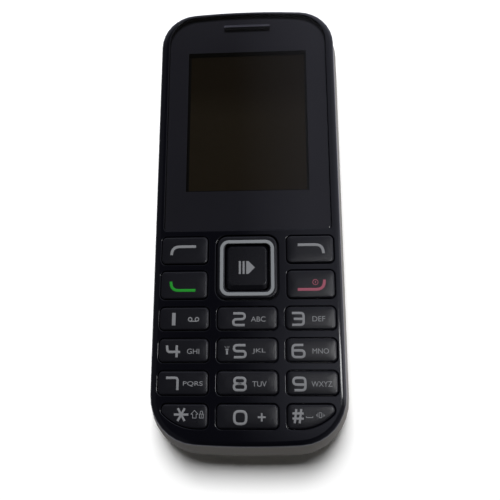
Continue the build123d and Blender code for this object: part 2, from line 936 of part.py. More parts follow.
def lcd_levels():
    """Levels of the display module: frame floor, backlight, panel and its front."""
    panel_high = ledge_low - lcd_depth
    panel_low = panel_high - lcd_panel_thickness
    backlight_high = panel_low - seat_gap
    backlight_low = backlight_high - lcd_backlight_thickness
    frame_low = backlight_low - seat_gap - lcd_frame_floor
    return frame_low, backlight_low, backlight_high, panel_low, panel_high


def lcd_area(grow):
    """The panel's outline, widened by grow."""
    side = display_width / 2 + lcd_side_border + grow
    low = display_middle - display_height / 2 - lcd_bottom_border - grow
    high = display_middle + display_height / 2 + lcd_top_border + grow
    return side, low, high


def lcd_panel():
    """The glass of the display."""
    side, near, far = lcd_area(0)
    _, _, _, low, high = lcd_levels()
    return block(-side, side, near, far, low, high)


def lcd_backlight():
    """The light guide behind the glass."""
    side, near, far = lcd_area(0)
    _, low, high, _, _ = lcd_levels()
    return block(-side, side, near, far, low, high)


def lcd_frame():
    """The tray that holds the glass and the light guide, open where the flex leaves it."""
    side, near, far = lcd_area(lcd_fit + lcd_frame_wall)
    frame_low, _, _, _, panel_high = lcd_levels()
    frame = block(-side, side, near, far, frame_low, panel_high)
    inner_side, inner_near, inner_far = lcd_area(lcd_fit)
    floor = frame_low + lcd_frame_floor
    frame -= block(-inner_side, inner_side, inner_near, inner_far, floor, panel_high)
    half = flex_width / 2 + flex_slack
    return frame - block(-half, half, near - overrun, inner_near, floor, panel_high)


def lcd_flex():
    """The flex from the glass down to the board."""
    _, near, _ = lcd_area(0)
    _, _, _, panel_low, _ = lcd_levels()
    half = flex_width / 2
    start = near - seat_gap
    end = near - flex_reach
    across = block(-half, half, end, start, panel_low, panel_low + flex_thickness)
    down = block(-half, half, end, end + flex_thickness, board_high, panel_low + flex_thickness)
    return across + down


def loudspeaker():
    """The loudspeaker: a basket with its magnet on the board side."""
    x, y = loudspeaker_place
    low = skin_high + speaker_gasket_thickness
    basket_high = low + loudspeaker_height - loudspeaker_magnet_height
    basket = post(x, y, loudspeaker_radius, low, basket_high)
    return basket + post(x, y, loudspeaker_magnet_radius, basket_high, low + loudspeaker_height)


def loudspeaker_gasket():
    """The foam ring under the loudspeaker."""
    x, y = loudspeaker_place
    high = skin_high + speaker_gasket_thickness
    ring = post(x, y, loudspeaker_radius, skin_high, high)
    return ring - post(x, y, loudspeaker_radius - speaker_gasket_width, skin_high, high)


def earpiece_speaker():
    """The earpiece, on the board under its slot."""
    outline = Pos(0, ear_slot_place) * RectangleRounded(earpiece_length, earpiece_width, earpiece_width / 3)
    return slab(outline, board_high, board_high + earpiece_height)


def microphone():
    """The microphone, on the board under the keypad."""
    x, y = microphone_place
    return post(x, y, microphone_radius, board_high, board_high + microphone_height)


def mic_boot():
    """The rubber boot round the microphone."""
    x, y = microphone_place
    inner = microphone_radius + boot_gap
    low = board_high + seat_gap
    boot = post(x, y, inner + boot_wall, low, mat_low - seat_gap)
    return boot - post(x, y, inner, low, mat_low - seat_gap)


def motor_can():
    """The vibration motor's can, with the bearing for its shaft."""
    x, y = motor_place
    left = x - motor_length / 2
    right = x + motor_length / 2
    can = bar_along_x(motor_radius, left, right, y, motor_level)
    can += bar_along_x(motor_bearing_radius, left - motor_bearing_length, left, y, motor_level)
    bore = shaft_radius + shaft_clearance
    return can - bar_along_x(bore, left - overrun, left + shaft_inset + seat_gap, y, motor_level)


def motor_weight():
    """The eccentric weight on the motor's shaft."""
    x, y = motor_place
    bearing_end = x - motor_length / 2 - motor_bearing_length
    right = bearing_end - shaft_gap
    left = right - weight_length
    weight = bar_along_x(weight_radius, left, right, y, motor_level)
    weight &= block(left, right, y - weight_radius, y + weight_radius, motor_level - weight_radius, motor_level)
    hub = bar_along_x(2 * shaft_radius, left, right, y, motor_level)
    shaft = bar_along_x(shaft_radius, left, x - motor_length / 2 + shaft_inset, y, motor_level)
    return weight + hub + shaft


def battery():
    """The removable battery."""
    half_x = battery_width / 2
    half_y = battery_length / 2
    pack = block(-half_x, half_x, battery_middle - half_y, battery_middle + half_y, battery_low, battery_high)
    return fillet(pack.edges().filter_by(Axis.Z), battery_round)


def battery_connector():
    """The contact block on the board at the battery's top end."""
    near = battery_middle + battery_length / 2 + connector_gap
    half = connector_width / 2
    return block(
        connector_place - half,
        connector_place + half,
        near,
        near + connector_depth,
        board_low - connector_drop,
        board_low,
    )


def battery_springs():
    """The three contacts that press on the battery."""
    near = battery_middle + battery_length / 2 + connector_gap
    low = board_low - connector_drop + spring_rise
    springs = []
    for number in range(spring_count):
        x = connector_place + (number - (spring_count - 1) / 2) * spring_pitch
        half = spring_width / 2
        springs.append(block(x - half, x + half, near - spring_thickness, near, low, low + spring_height))
    return springs


def jack_body(grow):
    """The square body of the headset socket, widened by grow for the housing's pocket."""
    far = rim_top - cavity_inset - end_bow + grow
    half = jack_body_width / 2 + grow
    near = far - jack_body_length - 2 * grow
    low = board_low - jack_body_height - grow
    return block(jack_x - half, jack_x + half, near, far, low, board_low)


def headset_jack():
    """The round headset socket, lying along the body."""
    mouth = half_length - jack_mouth_inset
    nose_start = rim_top - cavity_inset - end_bow
    nose = bar_along_y(jack_nose_radius, nose_start, mouth, jack_x, jack_level)
    bore = bar_along_y(jack_bore_radius, mouth - jack_bore_depth, mouth + overrun, jack_x, jack_level)
    return jack_body(0) + nose - bore


def usb_socket():
    """The charging socket: a metal mouth with a tongue inside."""
    mouth = half_length - usb_mouth_inset
    back = mouth - usb_depth
    half = usb_width / 2
    low = board_low - usb_height
    shell = block(usb_x - half, usb_x + half, back, mouth, low, board_low)
    inner = half - usb_wall
    shell -= block(
        usb_x - inner, usb_x + inner, back + usb_wall, mouth + overrun, low + usb_wall, board_low - usb_wall
    )
    tongue = usb_tongue_width / 2
    level = board_low - usb_height / 2
    shell += block(
        usb_x - tongue,
        usb_x + tongue,
        back,
        mouth - usb_wall,
        level - usb_tongue_height / 2,
        level + usb_tongue_height / 2,
    )
    return shell


def torch_led():
    """The torch's light, at the edge of the board."""
    far = rim_top - board_inset
    half = torch_width / 2
    return block(-half, half, far - torch_depth, far, board_low - torch_drop, board_low)


def torch_lens():
    """The clear lens in the top end."""
    far = half_length - usb_mouth_inset
    return bar_along_y(torch_lens_radius, far - torch_lens_length, far, 0, torch_level())


def antenna():
    """The antenna: a slotted metal sheet in the bottom end, with a leg up to the board."""
    half = antenna_width / 2
    near = antenna_place - antenna_depth / 2
    far = antenna_place + antenna_depth / 2
    low = skin_high + seat_gap
    sheet = block(-half, half, near, far, low, low + antenna_thickness)
    pitch = antenna_width / (antenna_slots + 1)
    for number in range(antenna_slots):
        x = -half + (number + 1) * pitch
        shift = antenna_slot if number % 2 else -antenna_slot
        cut_near = near + shift + antenna_slot / 2
        cut_far = far + shift - antenna_slot / 2
        sheet -= block(
            x - antenna_slot / 2, x + antenna_slot / 2, cut_near, cut_far, low - overrun, low + overrun
        )
    leg = block(half - antenna_leg_width, half, far - antenna_thickness, far, low, board_low)
    return sheet + leg


def housing_screws():
    """Six screws that hold the two halves together."""
    screws = []
    for x, y in screw_places():
        screw = post(x, y, screw_radius, screw_seat, board_low + screw_engagement)
        screw += post(x, y, screw_head_radius, screw_seat - screw_head_height, screw_seat)
        socket = Pos(x, y, screw_seat - screw_head_height) * extrude(
            RegularPolygon(socket_radius, 6), amount=socket_depth, dir=(0, 0, 1)
        )
        screws.append(screw - socket)
    return screws


# Every piece in its own file

pieces = {
    "front_cover": front_cover(),
    "display_window": display_window(),
    "window_gasket": window_gasket(),
    "earpiece_mesh": earpiece_mesh(),
    "rear_housing": rear_housing(),
    "battery_cover": battery_cover(),
    "nav_ring": nav_ring(),
    "nav_trim": nav_trim(),
    "nav_plate": nav_plate(),
    "key_select": key_select(),
    "keypad_mat": keypad_mat(),
    "key_domes": key_domes(),
    "dome_film": dome_film(),
    "keypad_leds": keypad_leds(),
    "main_board": main_board(),
    "shield_cans": shield_cans(),
    "board_chips": board_chips(),
    "sim_holder": holder(sim_place, sim_width, sim_length),
    "memory_card_socket": holder(card_place, card_width, card_length),
    "lcd_panel": lcd_panel(),
    "lcd_backlight": lcd_backlight(),
    "lcd_frame": lcd_frame(),
    "lcd_flex": lcd_flex(),
    "loudspeaker": loudspeaker(),
    "loudspeaker_gasket": loudspeaker_gasket(),
    "earpiece_speaker": earpiece_speaker(),
    "microphone": microphone(),
    "mic_boot": mic_boot(),
    "motor_can": motor_can(),
    "motor_weight": motor_weight(),
    "battery": battery(),
    "battery_connector": battery_connector(),
    "battery_springs": battery_springs(),
    "headset_jack": headset_jack(),
    "usb_socket": usb_socket(),
    "torch_led": torch_led(),
    "torch_lens": torch_lens(),
    "antenna": antenna(),
    "housing_screws": housing_screws(),
}
for key_name in areas:
    pieces[key_name] = key(key_name)

for name, shape in pieces.items():
    solid = Compound(children=shape) if isinstance(shape, list) else shape
    export_step(solid, f"parts/{name}.step")
print("wrote", len(pieces), "nodes")
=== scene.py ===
# %% [markdown]
# A candybar feature phone, lying on its back
#
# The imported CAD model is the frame: it says where every piece is and how it moves. This lesson dresses
# it. Pieces that show are modelled again with soft edges, crowned keys and printed marks, and each of
# them rides on the CAD body it belongs to. What stays as the CAD made it gets a finish of its own.

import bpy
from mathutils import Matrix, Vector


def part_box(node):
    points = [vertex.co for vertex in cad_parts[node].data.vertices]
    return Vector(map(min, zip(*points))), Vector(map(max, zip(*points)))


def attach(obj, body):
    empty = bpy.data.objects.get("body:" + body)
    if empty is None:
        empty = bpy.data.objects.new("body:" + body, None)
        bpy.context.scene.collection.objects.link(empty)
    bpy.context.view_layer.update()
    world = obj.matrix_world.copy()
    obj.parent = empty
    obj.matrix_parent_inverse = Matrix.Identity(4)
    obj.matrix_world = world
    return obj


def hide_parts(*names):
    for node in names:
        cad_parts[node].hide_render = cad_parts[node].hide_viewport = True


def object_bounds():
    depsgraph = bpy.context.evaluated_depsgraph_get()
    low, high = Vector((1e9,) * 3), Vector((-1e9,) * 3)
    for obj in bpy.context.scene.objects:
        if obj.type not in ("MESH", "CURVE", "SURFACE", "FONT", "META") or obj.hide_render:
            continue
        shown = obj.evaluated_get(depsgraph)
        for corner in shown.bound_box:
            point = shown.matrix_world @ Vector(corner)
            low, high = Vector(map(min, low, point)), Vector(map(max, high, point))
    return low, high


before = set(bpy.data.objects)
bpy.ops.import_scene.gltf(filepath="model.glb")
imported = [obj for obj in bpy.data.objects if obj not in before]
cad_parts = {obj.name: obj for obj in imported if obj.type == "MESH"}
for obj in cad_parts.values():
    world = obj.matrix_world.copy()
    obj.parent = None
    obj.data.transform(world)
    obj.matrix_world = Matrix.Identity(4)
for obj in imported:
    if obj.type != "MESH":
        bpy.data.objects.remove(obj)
cad_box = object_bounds()

# %% Tools and units
from math import atan2, ceil, cos, degrees, radians, sin, sqrt

import bmesh
import bpy
from mathutils import Euler, Vector
from mathutils.bvhtree import BVHTree

MM = 0.001  # the scene is in metres, the phone's sizes here in millimetres
MERGE = 0.0005  # points nearer than this, in millimetres, become one


def box_mm(node):
    """The lowest and highest corner of a CAD node, in millimetres."""
    low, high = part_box(node)
    return low / MM, high / MM


phone_low, phone_high = cad_box[0] / MM, cad_box[1] / MM
print("phone", [round(size, 2) for size in phone_high - phone_low])

# %% [markdown]
# The camera
#
# The photograph was taken from close by, over the phone's lower half and tilted towards the far end, so
# that end looks smaller. The camera's place comes from a fit to the straight edges of the window, the
# display and the key rows.

# %% Camera
CAMERA_PLACE = Vector((6.14, -30.69, 123.2))
CAMERA_TURN = (11.267, 2.868, -0.141)  # degrees about x, y and z
LENS = 36.0  # as wide as the sensor: half the view is 26.6 degrees

camera_data = bpy.data.cameras.new("camera")
camera_data.lens = LENS
camera_data.sensor_width = LENS
camera_data.clip_start = 0.005
camera_data.clip_end = 10
camera = bpy.data.objects.new("camera", camera_data)
camera.location = CAMERA_PLACE * MM
camera.rotation_euler = Euler([radians(angle) for angle in CAMERA_TURN])
bpy.context.scene.collection.objects.link(camera)
bpy.context.scene.camera = camera
print("camera at", tuple(round(value, 4) for value in camera.location))

# %% [markdown]
# Finishes as small recipes
#
# A finish is a Principled surface fed by a few texture nodes. `Signal` is one wire between nodes: adding
# or multiplying two signals adds the Math node that does it, so a recipe reads like a formula.

# %% Signals and finishes


class Signal:
    """A number that varies over a surface: the output socket of a node."""

    def __init__(self, finish, socket):
        self.finish = finish
        self.socket = socket

    def maths(self, operation, first, second):
        """A Math node on two values."""
        return self.finish.node("ShaderNodeMath", {"operation": operation}, {0: first, 1: second})

    def __add__(self, other):
        return self.maths("ADD", self, other)

    def __sub__(self, other):
        return self.maths("SUBTRACT", self, other)

    def __rsub__(self, other):
        return self.maths("SUBTRACT", other, self)

    def __mul__(self, other):
        return self.maths("MULTIPLY", self, other)

    def __gt__(self, other):
        return self.maths("GREATER_THAN", self, other)

    def __lt__(self, other):
        return self.maths("LESS_THAN", self, other)

    def between(self, low, high):
        """0 up to low, 1 from high, and a straight slope in between."""
        values = {"Value": self, "From Min": low, "From Max": high}
        return self.finish.node("ShaderNodeMapRange", {"clamp": True}, values)


class Recipe:
    """A tree of shader nodes."""

    def __init__(self, tree):
        self.tree = tree

    def node(self, kind, settings=None, values=None, output=0):
        """Adds a node, sets it up, wires its inputs and returns one of its outputs."""
        made = self.tree.nodes.new(kind)
        for key, value in (settings or {}).items():
            setattr(made, key, value)
        for socket, value in (values or {}).items():
            self.wire(made.inputs[socket], value)
        return Signal(self, made.outputs[output])

    def wire(self, socket, value):
        """Links a signal to a socket, or sets the socket to a number, a colour or a vector."""
        if isinstance(value, Signal):
            self.tree.links.new(value.socket, socket)
        elif isinstance(value, (tuple, list)) and len(value) == 3 and socket.type == "RGBA":
            socket.default_value = (*value, 1.0)
        else:
            socket.default_value = value

    def blend(self, share, first, second):
        """A colour that goes from the first to the second as share goes from 0 to 1."""
        settings = {"data_type": "RGBA"}
        return self.node("ShaderNodeMix", settings, {"Factor": share, 6: first, 7: second}, 2)


class Finish(Recipe):
    """One material: a Principled surface and the nodes that feed it."""

    def __init__(self, name, **fixed):
        self.material = bpy.data.materials.new(name)
        self.material.use_nodes = True
        super().__init__(self.material.node_tree)
        self.surface = self.tree.nodes["Principled BSDF"]
        self.feed(**fixed)

    def feed(self, **inputs):
        """Sets or links inputs of the Principled surface: base_color means Base Color."""
        for key, value in inputs.items():
            words = [word if word == "IOR" else word.capitalize() for word in key.split("_")]
            self.wire(self.surface.inputs[" ".join(words)], value)
        return self

    def place(self):
        """A point of the surface in the phone's own frame, in millimetres."""
        spot = self.node("ShaderNodeTexCoord", output="Object")
        return self.node("ShaderNodeMapping", None, {"Vector": spot, "Scale": (1 / MM,) * 3})

    def axis(self, letter):
        """One coordinate of the surface, in millimetres."""
        return self.node("ShaderNodeSeparateXYZ", None, {0: self.place()}, "XYZ".index(letter))

    def noise(self, size, detail=2.0):
        """Soft random patches about size millimetres across, from 0 to 1."""
        values = {"Vector": self.place(), "Scale": 1 / size, "Detail": detail}
        return self.node("ShaderNodeTexNoise", None, values)

    def bump(self, height, depth):
        """Raises the surface by height, depth millimetres at most."""
        values = {"Height": height, "Strength": 1.0, "Distance": depth * MM}
        self.feed(normal=self.node("ShaderNodeBump", None, values))
        return self

    def coat(self, piece):
        """Becomes a piece's only finish."""
        piece.data.materials.clear()
        piece.data.materials.append(self.material)


# %% [markdown]
# Daylight on a white table
#
# The photograph has a white ground with the phone's soft shadow below its near end, so the main light
# stands beyond the far end. The keys grow lighter from left to right and their right edges shine: both
# are the image of a bright room at the right. Black gloss shows everything that shines, so the world is
# two rooms, each a formula of the direction: one only lights, the other only shows in gloss. The camera
# sees plain white.

# %% World
world = bpy.data.worlds.new("studio")
world.use_nodes = True
bpy.context.scene.world = world
bpy.context.scene.view_settings.view_transform = "Standard"
room = Recipe(world.node_tree)
towards = room.node("ShaderNodeTexCoord", output="Generated")
to_right, to_far, up = (room.node("ShaderNodeSeparateXYZ", None, {0: towards}, part) for part in range(3))

SKY, SKY_FAR, GROUND = 0.006, 0.45, 0.5  # from above, from the far end and from below
SKY_LOW, LOW_RIGHT, LOW_NEAR = 0.3, 0.75, 0.45  # near the horizon: all round, at the right, at the near end
low_band = 1 - up.between(0.0, 0.25)  # it lights upright sides and hardly the table
from_right = to_right.between(0.5, 0.95) * LOW_RIGHT
from_near = (to_far * -1).between(0.5, 0.95) * LOW_NEAR
from_far = to_far.between(0.3, 1.0) * SKY_FAR
from_below = (up * -1).between(0.2, 0.6) * GROUND
daylight = (from_right + from_near + SKY_LOW) * low_band + from_far + from_below + SKY

DIM_CEILING, RIGHT_OVERHEAD, RIGHT_SIDE, LEFT_SIDE, FAR_WALL = 0.022, 0.5, 0.26, 0.08, 0.4
bright_patch = to_far.between(-0.21, -0.12) * (1 - to_far.between(0.0, 0.07) * 0.3)
overhead = to_right.between(-0.07, 0.07) * bright_patch * RIGHT_OVERHEAD
right_wall = to_right.between(0.1, 0.95) * RIGHT_SIDE
left_wall = (to_right * -1).between(0.2, 0.32) * LEFT_SIDE
floor = (up * -1).between(0.0, 0.3) * FAR_WALL
far_wall = to_far.between(0.53, 0.78) * FAR_WALL
mirror = overhead + right_wall + left_wall + floor + far_wall + DIM_CEILING

COOL = (0.94, 0.96, 1.14, 1.0)  # gloss mirrors cool daylight
in_gloss = room.node("ShaderNodeLightPath", output="Is Glossy Ray")
in_view = room.node("ShaderNodeLightPath", output="Is Camera Ray")
level = daylight + in_gloss * (mirror - daylight)
background = world.node_tree.nodes["Background"]
room.wire(background.inputs["Strength"], level + in_view * (1 - level))
room.wire(background.inputs["Color"], room.blend(in_gloss, (1.0, 1.0, 1.0, 1.0), COOL))
print("world nodes", len(world.node_tree.nodes))

# %% [markdown]
# The table
#
# The table is white paper to the camera above it, so it keeps the shadow, and clear from below, so one
# sees the back through it. The light that the phone's faces gather passes it too, as if the room went on
# below. Light that bounced more than once finds paper again, so the shadow stays deep next to the phone.

# %% Table
TABLE_SPAN = 4.0  # metres
TABLE_DROP = 0.2  # millimetres under the phone, so that the two faces don't meet
TABLE_SHOWN = 0.94  # its tone: white where little shadow falls
TABLE_FADE = (110.0, 220.0)  # millimetres from the middle, where it turns into the white room
ONE_BOUNCE = 1.5  # deeper rays have bounced more than once
bpy.ops.object.select_all(action="DESELECT")
bpy.ops.mesh.primitive_plane_add(size=TABLE_SPAN, location=(0, 0, -TABLE_DROP * MM))
table = bpy.context.object
table.name = "table"
paper = Finish("table_white", roughness=0.9, specular_IOR_level=0.0, base_color=(TABLE_SHOWN,) * 3)
seen = paper.node("ShaderNodeLightPath", output="Is Camera Ray")
below = paper.node("ShaderNodeNewGeometry", output="Backfacing")
clear_view = paper.node("ShaderNodeBsdfTransparent")
top_view = Signal(paper, paper.surface.outputs[0])
distance = paper.node("ShaderNodeVectorMath", {"operation": "LENGTH"}, {0: paper.place()}, "Value")
near = 1 - distance.between(*TABLE_FADE)
bounced = paper.node("ShaderNodeLightPath", output="Ray Depth") > ONE_BOUNCE
solid = (seen + bounced) * (1 - below) * near
faces = paper.node("ShaderNodeMixShader", None, {0: solid, 1: clear_view, 2: top_view})
paper.wire(paper.tree.nodes["Material Output"].inputs["Surface"], faces)
paper.coat(table)
print("table", TABLE_SPAN, "m wide")

# %% [markdown]
# Lamps
#
# Each lamp is a bright rectangle aimed at the phone, and does one job. The main light casts the shadow
# and gives the plastics their tone, but doesn't show in gloss, where it would be a white patch. The two
# windows light nothing and only show in gloss, as thin glints on round edges.

# %% Lamps


def softbox(name, place, width, height, watts, shine):
    """A lamp at place, in metres, aimed at the phone. It only shows in gloss (shine) or only lights."""
    lamp = bpy.data.lights.new(name, "AREA")
    lamp.shape = "RECTANGLE"
    lamp.size = width
    lamp.size_y = height
    lamp.energy = watts
    lamp_object = bpy.data.objects.new(name, lamp)
    lamp_object.location = place
    lamp_object.rotation_euler = Vector(place).to_track_quat("Z", "Y").to_euler()
    lamp_object.visible_glossy = shine
    lamp_object.visible_diffuse = not shine
    bpy.context.scene.collection.objects.link(lamp_object)


softbox("main_light", (-0.02, 0.61, 0.905), width=0.5, height=0.4, watts=17.5, shine=False)
softbox("window_right", (0.3, -0.06, 0.74), width=0.1, height=0.24, watts=1.0, shine=True)
softbox("window_low", (0.9, -0.05, 0.3), width=0.5, height=0.4, watts=0.45, shine=True)
print("lamps", len(bpy.data.lights))

# %% [markdown]
# The finishes of the phone's plastics
#
# Moulded plastic is never one flat colour: the gloss changes a little from place to place, and a satin
# face has a grain far finer than a millimetre. So each finish starts from the colour of its real material
# and lets soft noise move the colour, the roughness and the grain.

# %% Moulded, painted and metal finishes


def linear(red, green, blue):
    """A colour as a picture shows it, from 0 to 255, as the light it stands for."""
    shares = [tone / 255 for tone in (red, green, blue)]
    return tuple(share / 12.92 if share < 0.04045 else ((share + 0.055) / 1.055) ** 2.4 for share in shares)


PATCH = 9.0  # millimetres across a patch of even colour
GLOSS_FROM, GLOSS_RANGE = 0.88, 0.25  # roughness drifts from this share of its value up


def moulded(name, tone, rough, grain, depth, fixed={}, drift=0.12):
    """Plastic or metal with a fine grain, and a colour and gloss that drift slightly."""
    finish = Finish(name, **fixed)
    patches = finish.noise(PATCH, 3.0)
    colour = linear(*tone)
    darker = tuple(value * (1 - drift) for value in colour)
    lighter = tuple(value * (1 + drift) for value in colour)
    finish.feed(base_color=finish.blend(patches, darker, lighter))
    finish.feed(roughness=patches * (rough * GLOSS_RANGE) + rough * GLOSS_FROM)
    return finish.bump(finish.noise(grain), depth)


METAL = {"metallic": 1.0}
looks = {  # tone, roughness, grain's width and depth, fixed values, drift
    "front_black": ((5, 5, 9), 0.11, 0.6, 0.002),
    "key_black": ((8, 8, 12), 0.33, 0.14, 0.006),
    "middle_black": ((5, 5, 8), 0.27, 0.14, 0.006),
    "cover_grey": ((137, 132, 123), 0.55, 0.16, 0.008, {"specular_IOR_level": 0.35}, 0.05),
    "trim_silver": ((118, 121, 124), 0.42, 0.1, 0.003, {"metallic": 0.15}, 0.05),
    "print_grey": ((108, 109, 112), 0.55, 0.1, 0.002, {}, 0.06),
    "print_green": ((22, 118, 30), 0.55, 0.1, 0.002, {}, 0.06),
    "print_red": ((128, 68, 82), 0.55, 0.1, 0.002, {}, 0.06),
    "housing_black": ((30, 30, 32), 0.55, 0.18, 0.012),
    "inner_plastic": ((196, 194, 186), 0.5, 0.2, 0.01),
    "silicone": ((176, 178, 180), 0.6, 0.25, 0.006),
    "spring_steel": ((196, 196, 198), 0.24, 0.3, 0.003, METAL),
    "shield_metal": ((176, 178, 180), 0.34, 0.5, 0.004, METAL),
    "screw_steel": ((150, 152, 156), 0.3, 0.2, 0.003, METAL),
    "weight_metal": ((140, 138, 134), 0.38, 0.2, 0.006, METAL),
    "contact_gold": ((222, 178, 92), 0.28, 0.3, 0.003, METAL),
    "chip_black": ((34, 34, 36), 0.5, 0.1, 0.008),
    "foam_black": ((28, 28, 30), 0.9, 0.3, 0.05),
    "jack_black": ((24, 24, 26), 0.38, 0.2, 0.006),
    "led_white": ((236, 230, 196), 0.35, 0.3, 0.003),
    "battery_shell": ((58, 60, 66), 0.38, 0.2, 0.006),
    "flex_amber": ((176, 106, 34), 0.3, 0.4, 0.004),
    "film_clear": ((206, 210, 214), 0.2, 0.5, 0.003, {"alpha": 0.35}),
    "lens_clear": ((226, 230, 234), 0.1, 0.5, 0.002, {"alpha": 0.5}),
    "black_film": ((20, 20, 22), 0.5, 0.3, 0.004),
    "board_green": ((18, 78, 44), 0.4, 0.35, 0.02, {}, 0.25),
    "mesh_black": ((50, 50, 58), 0.2, 0.3, 0.004),
}
look = {name: moulded(name, *values) for name, values in looks.items()}
print("finishes", len(bpy.data.materials))

# %% [markdown]
# Drawing with outlines
#
# The casing, the keys and the window are flat outlines that were given a height: that is also how their
# moulds are cut. An outline is a list of points in millimetres. Two outlines of one shape have the same
# number of points, so the wall between one level's rim and the next stays even.

# %% Outlines
ROUND_STEPS = 8  # parts of each round corner


def arc(middle, radius, first, last, steps=ROUND_STEPS):
    """Points along an arc, from the first to the last angle in degrees."""
    turns = [radians(first + (last - first) * step / steps) for step in range(steps + 1)]
    return [(middle[0] + radius * cos(turn), middle[1] + radius * sin(turn)) for turn in turns]


def circle(middle, radius, count):
    """Points round a circle."""
    return arc(middle, radius, 0, 360 - 360 / count, count - 1)


def rectangle(middle, half_x, half_y, corner):
    """A rectangle with round corners, counterclockwise."""
    x, y = half_x - corner, half_y - corner
    corners = ((x, y, 0), (-x, y, 90), (-x, -y, 180), (x, -y, 270))
    points = []
    for across, along, first in corners:
        points += arc((middle[0] + across, middle[1] + along), corner, first, first + 90)
    return points


END_BOW = 1.2  # how far the middle of each end stands out beyond its corners


def bowed_end(side, end, corner):
    """From a side round its corner to the middle of a bowed end, for the end at a positive y."""
    bow = (side ** 2 + END_BOW ** 2) / (2 * END_BOW)
    bow_y = end - bow
    reach = side - corner
    corner_y = bow_y + sqrt((bow - corner) ** 2 - reach ** 2)
    turn = degrees(atan2(corner_y - bow_y, reach))
    return arc((reach, corner_y), corner, 0, turn) + arc((0, bow_y), bow, turn, 90)[1:]


def both_sides(right):
    """A right half, from the bottom up to the middle line, and its mirror image."""
    left = [(-x, y) for x, y in reversed(right)][1:]
    if right[0][0] == 0:
        left.pop()
    return right + left


def phone_outline(side, top, bottom, upper_corner, lower_corner):
    """The phone's plan: straight sides, bowed ends and round corners."""
    lower = [(x, -y) for x, y in reversed(bowed_end(side, -bottom, lower_corner))]
    lower[0] = (0, bottom)
    return both_sides(lower + bowed_end(side, top, upper_corner))


SIDE_LEAN = 1.25  # the sides stay upright at first, the ends lean in evenly
FAR_LEAN, NEAR_LEAN = 0.95, 2.5  # how far the ends have come in at the parting line
FAR_CORNER, NEAR_CORNER = 10, 12  # radii of the corners at the widest level
FAR_TIGHTER, NEAR_TIGHTER = 1, 1.4  # and how much tighter they get


def shoulder(share, inset=0.0):
    """The plan between the widest level (share 0) and the parting line (share 1), drawn in by inset."""
    side, length = phone_high.x - share ** SIDE_LEAN - inset, -phone_low.y
    far, near = length - FAR_LEAN * share - inset, -length + NEAR_LEAN * share + inset
    far_corner = FAR_CORNER - FAR_TIGHTER * share - inset
    return phone_outline(side, far, near, far_corner, NEAR_CORNER - NEAR_TIGHTER * share - inset)


print("points round the phone", len(shoulder(0)))

# %% [markdown]
# Growing a solid from its rim
#
# The first outline becomes a face: a filled circle whose points are laid on it. Extrude then lifts the
# face to the next height, where its rim is laid on that level's outline. A round edge is a few levels that
# draw in along a quarter circle, and a hole is cut by a solid that flares in the same way.

# %% Tools for solids


def only(piece):
    """Makes a piece the only selected one."""
    bpy.ops.object.select_all(action="DESELECT")
    piece.select_set(True)
    bpy.context.view_layer.objects.active = piece


def close_up():
    """Merges the points of seams, turns the faces outwards and leaves edit mode."""
    bpy.ops.mesh.select_all(action="SELECT")
    bpy.ops.mesh.remove_doubles(threshold=MERGE * MM)
    bpy.ops.mesh.normals_make_consistent(inside=False)
    bpy.ops.object.mode_set(mode="OBJECT")


def stack(name, levels):
    """A solid through a list of levels, each an outline and its height in millimetres."""
    bpy.ops.object.select_all(action="DESELECT")
    bpy.ops.mesh.primitive_circle_add(vertices=len(levels[0][0]), radius=MM, fill_type="NGON")
    piece = bpy.context.object
    piece.name = name
    piece.data.name = name
    bpy.ops.object.mode_set(mode="EDIT")
    bpy.ops.mesh.select_all(action="SELECT")
    for step, (outline, height) in enumerate(levels):
        if step > 0:
            bpy.ops.mesh.extrude_region_move()
        shape = bmesh.from_edit_mesh(piece.data)
        rim = [face for face in shape.faces if face.select][0]
        for corner, (x, y) in zip(rim.verts, outline):
            corner.co = (x * MM, y * MM, height * MM)
        bmesh.update_edit_mesh(piece.data)
    close_up()
    return piece


def upright(outline, low, high):
    """A solid with upright sides."""
    return stack("upright", [(outline, low), (outline, high)])


def carve(piece, cutters):
    """Cuts each cutter out of a piece."""
    for cutter in cutters:
        change = piece.modifiers.new("cut", "BOOLEAN")
        change.operation = "DIFFERENCE"
        change.solver = "EXACT"
        change.object = cutter
        only(piece)
        bpy.ops.object.modifier_apply(modifier=change.name)
        bpy.data.objects.remove(cutter)


def joined(pieces):
    """Joins pieces to one mesh."""
    only(pieces[0])
    for piece in pieces:
        piece.select_set(True)
    if len(pieces) > 1:
        bpy.ops.object.join()
    return bpy.context.object


SMOOTH_BELOW = 38  # degrees: sharper edges stay edges


def complete(piece, body, slot, *nodes, finish=None):
    """Smooths a piece, gives it its finish and hangs it on its body, in place of its CAD nodes."""
    only(piece)
    bpy.ops.object.mode_set(mode="EDIT")
    close_up()
    bpy.ops.object.shade_smooth_by_angle(angle=radians(SMOOTH_BELOW))
    even = piece.modifiers.new("even", "WEIGHTED_NORMAL")
    even.keep_sharp = True
    bpy.ops.object.modifier_apply(modifier=even.name)
    (finish or look[slot]).coat(piece)
    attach(piece, body)
    if nodes:
        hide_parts(*nodes)


def quarter(steps):
    """Angles from 0 to 90 degrees."""
    return [radians(90 * step / steps) for step in range(steps + 1)]


def edge_in(outline_at, top, radius, steps=4, reach=None):
    """Levels of a round edge as high as radius: outline_at(inset) draws in by radius, or by reach."""
    reach = reach or radius
    turns = quarter(steps)
    return [(outline_at(reach * (1 - cos(turn))), top - radius + radius * sin(turn)) for turn in turns]


FLARE_STEPS = 3
PAST, JUST_PAST = 1.0, 0.5  # millimetres that a cutter reaches past what it cuts


def plug(outline_at, low, top, radius):
    """A cutter that flares at the top, so the hole it leaves has a round upper edge."""
    flare = edge_in(outline_at, top, radius, FLARE_STEPS, -radius)
    return stack("plug", [(outline_at(0), low)] + flare + [(outline_at(-radius), top + PAST)])


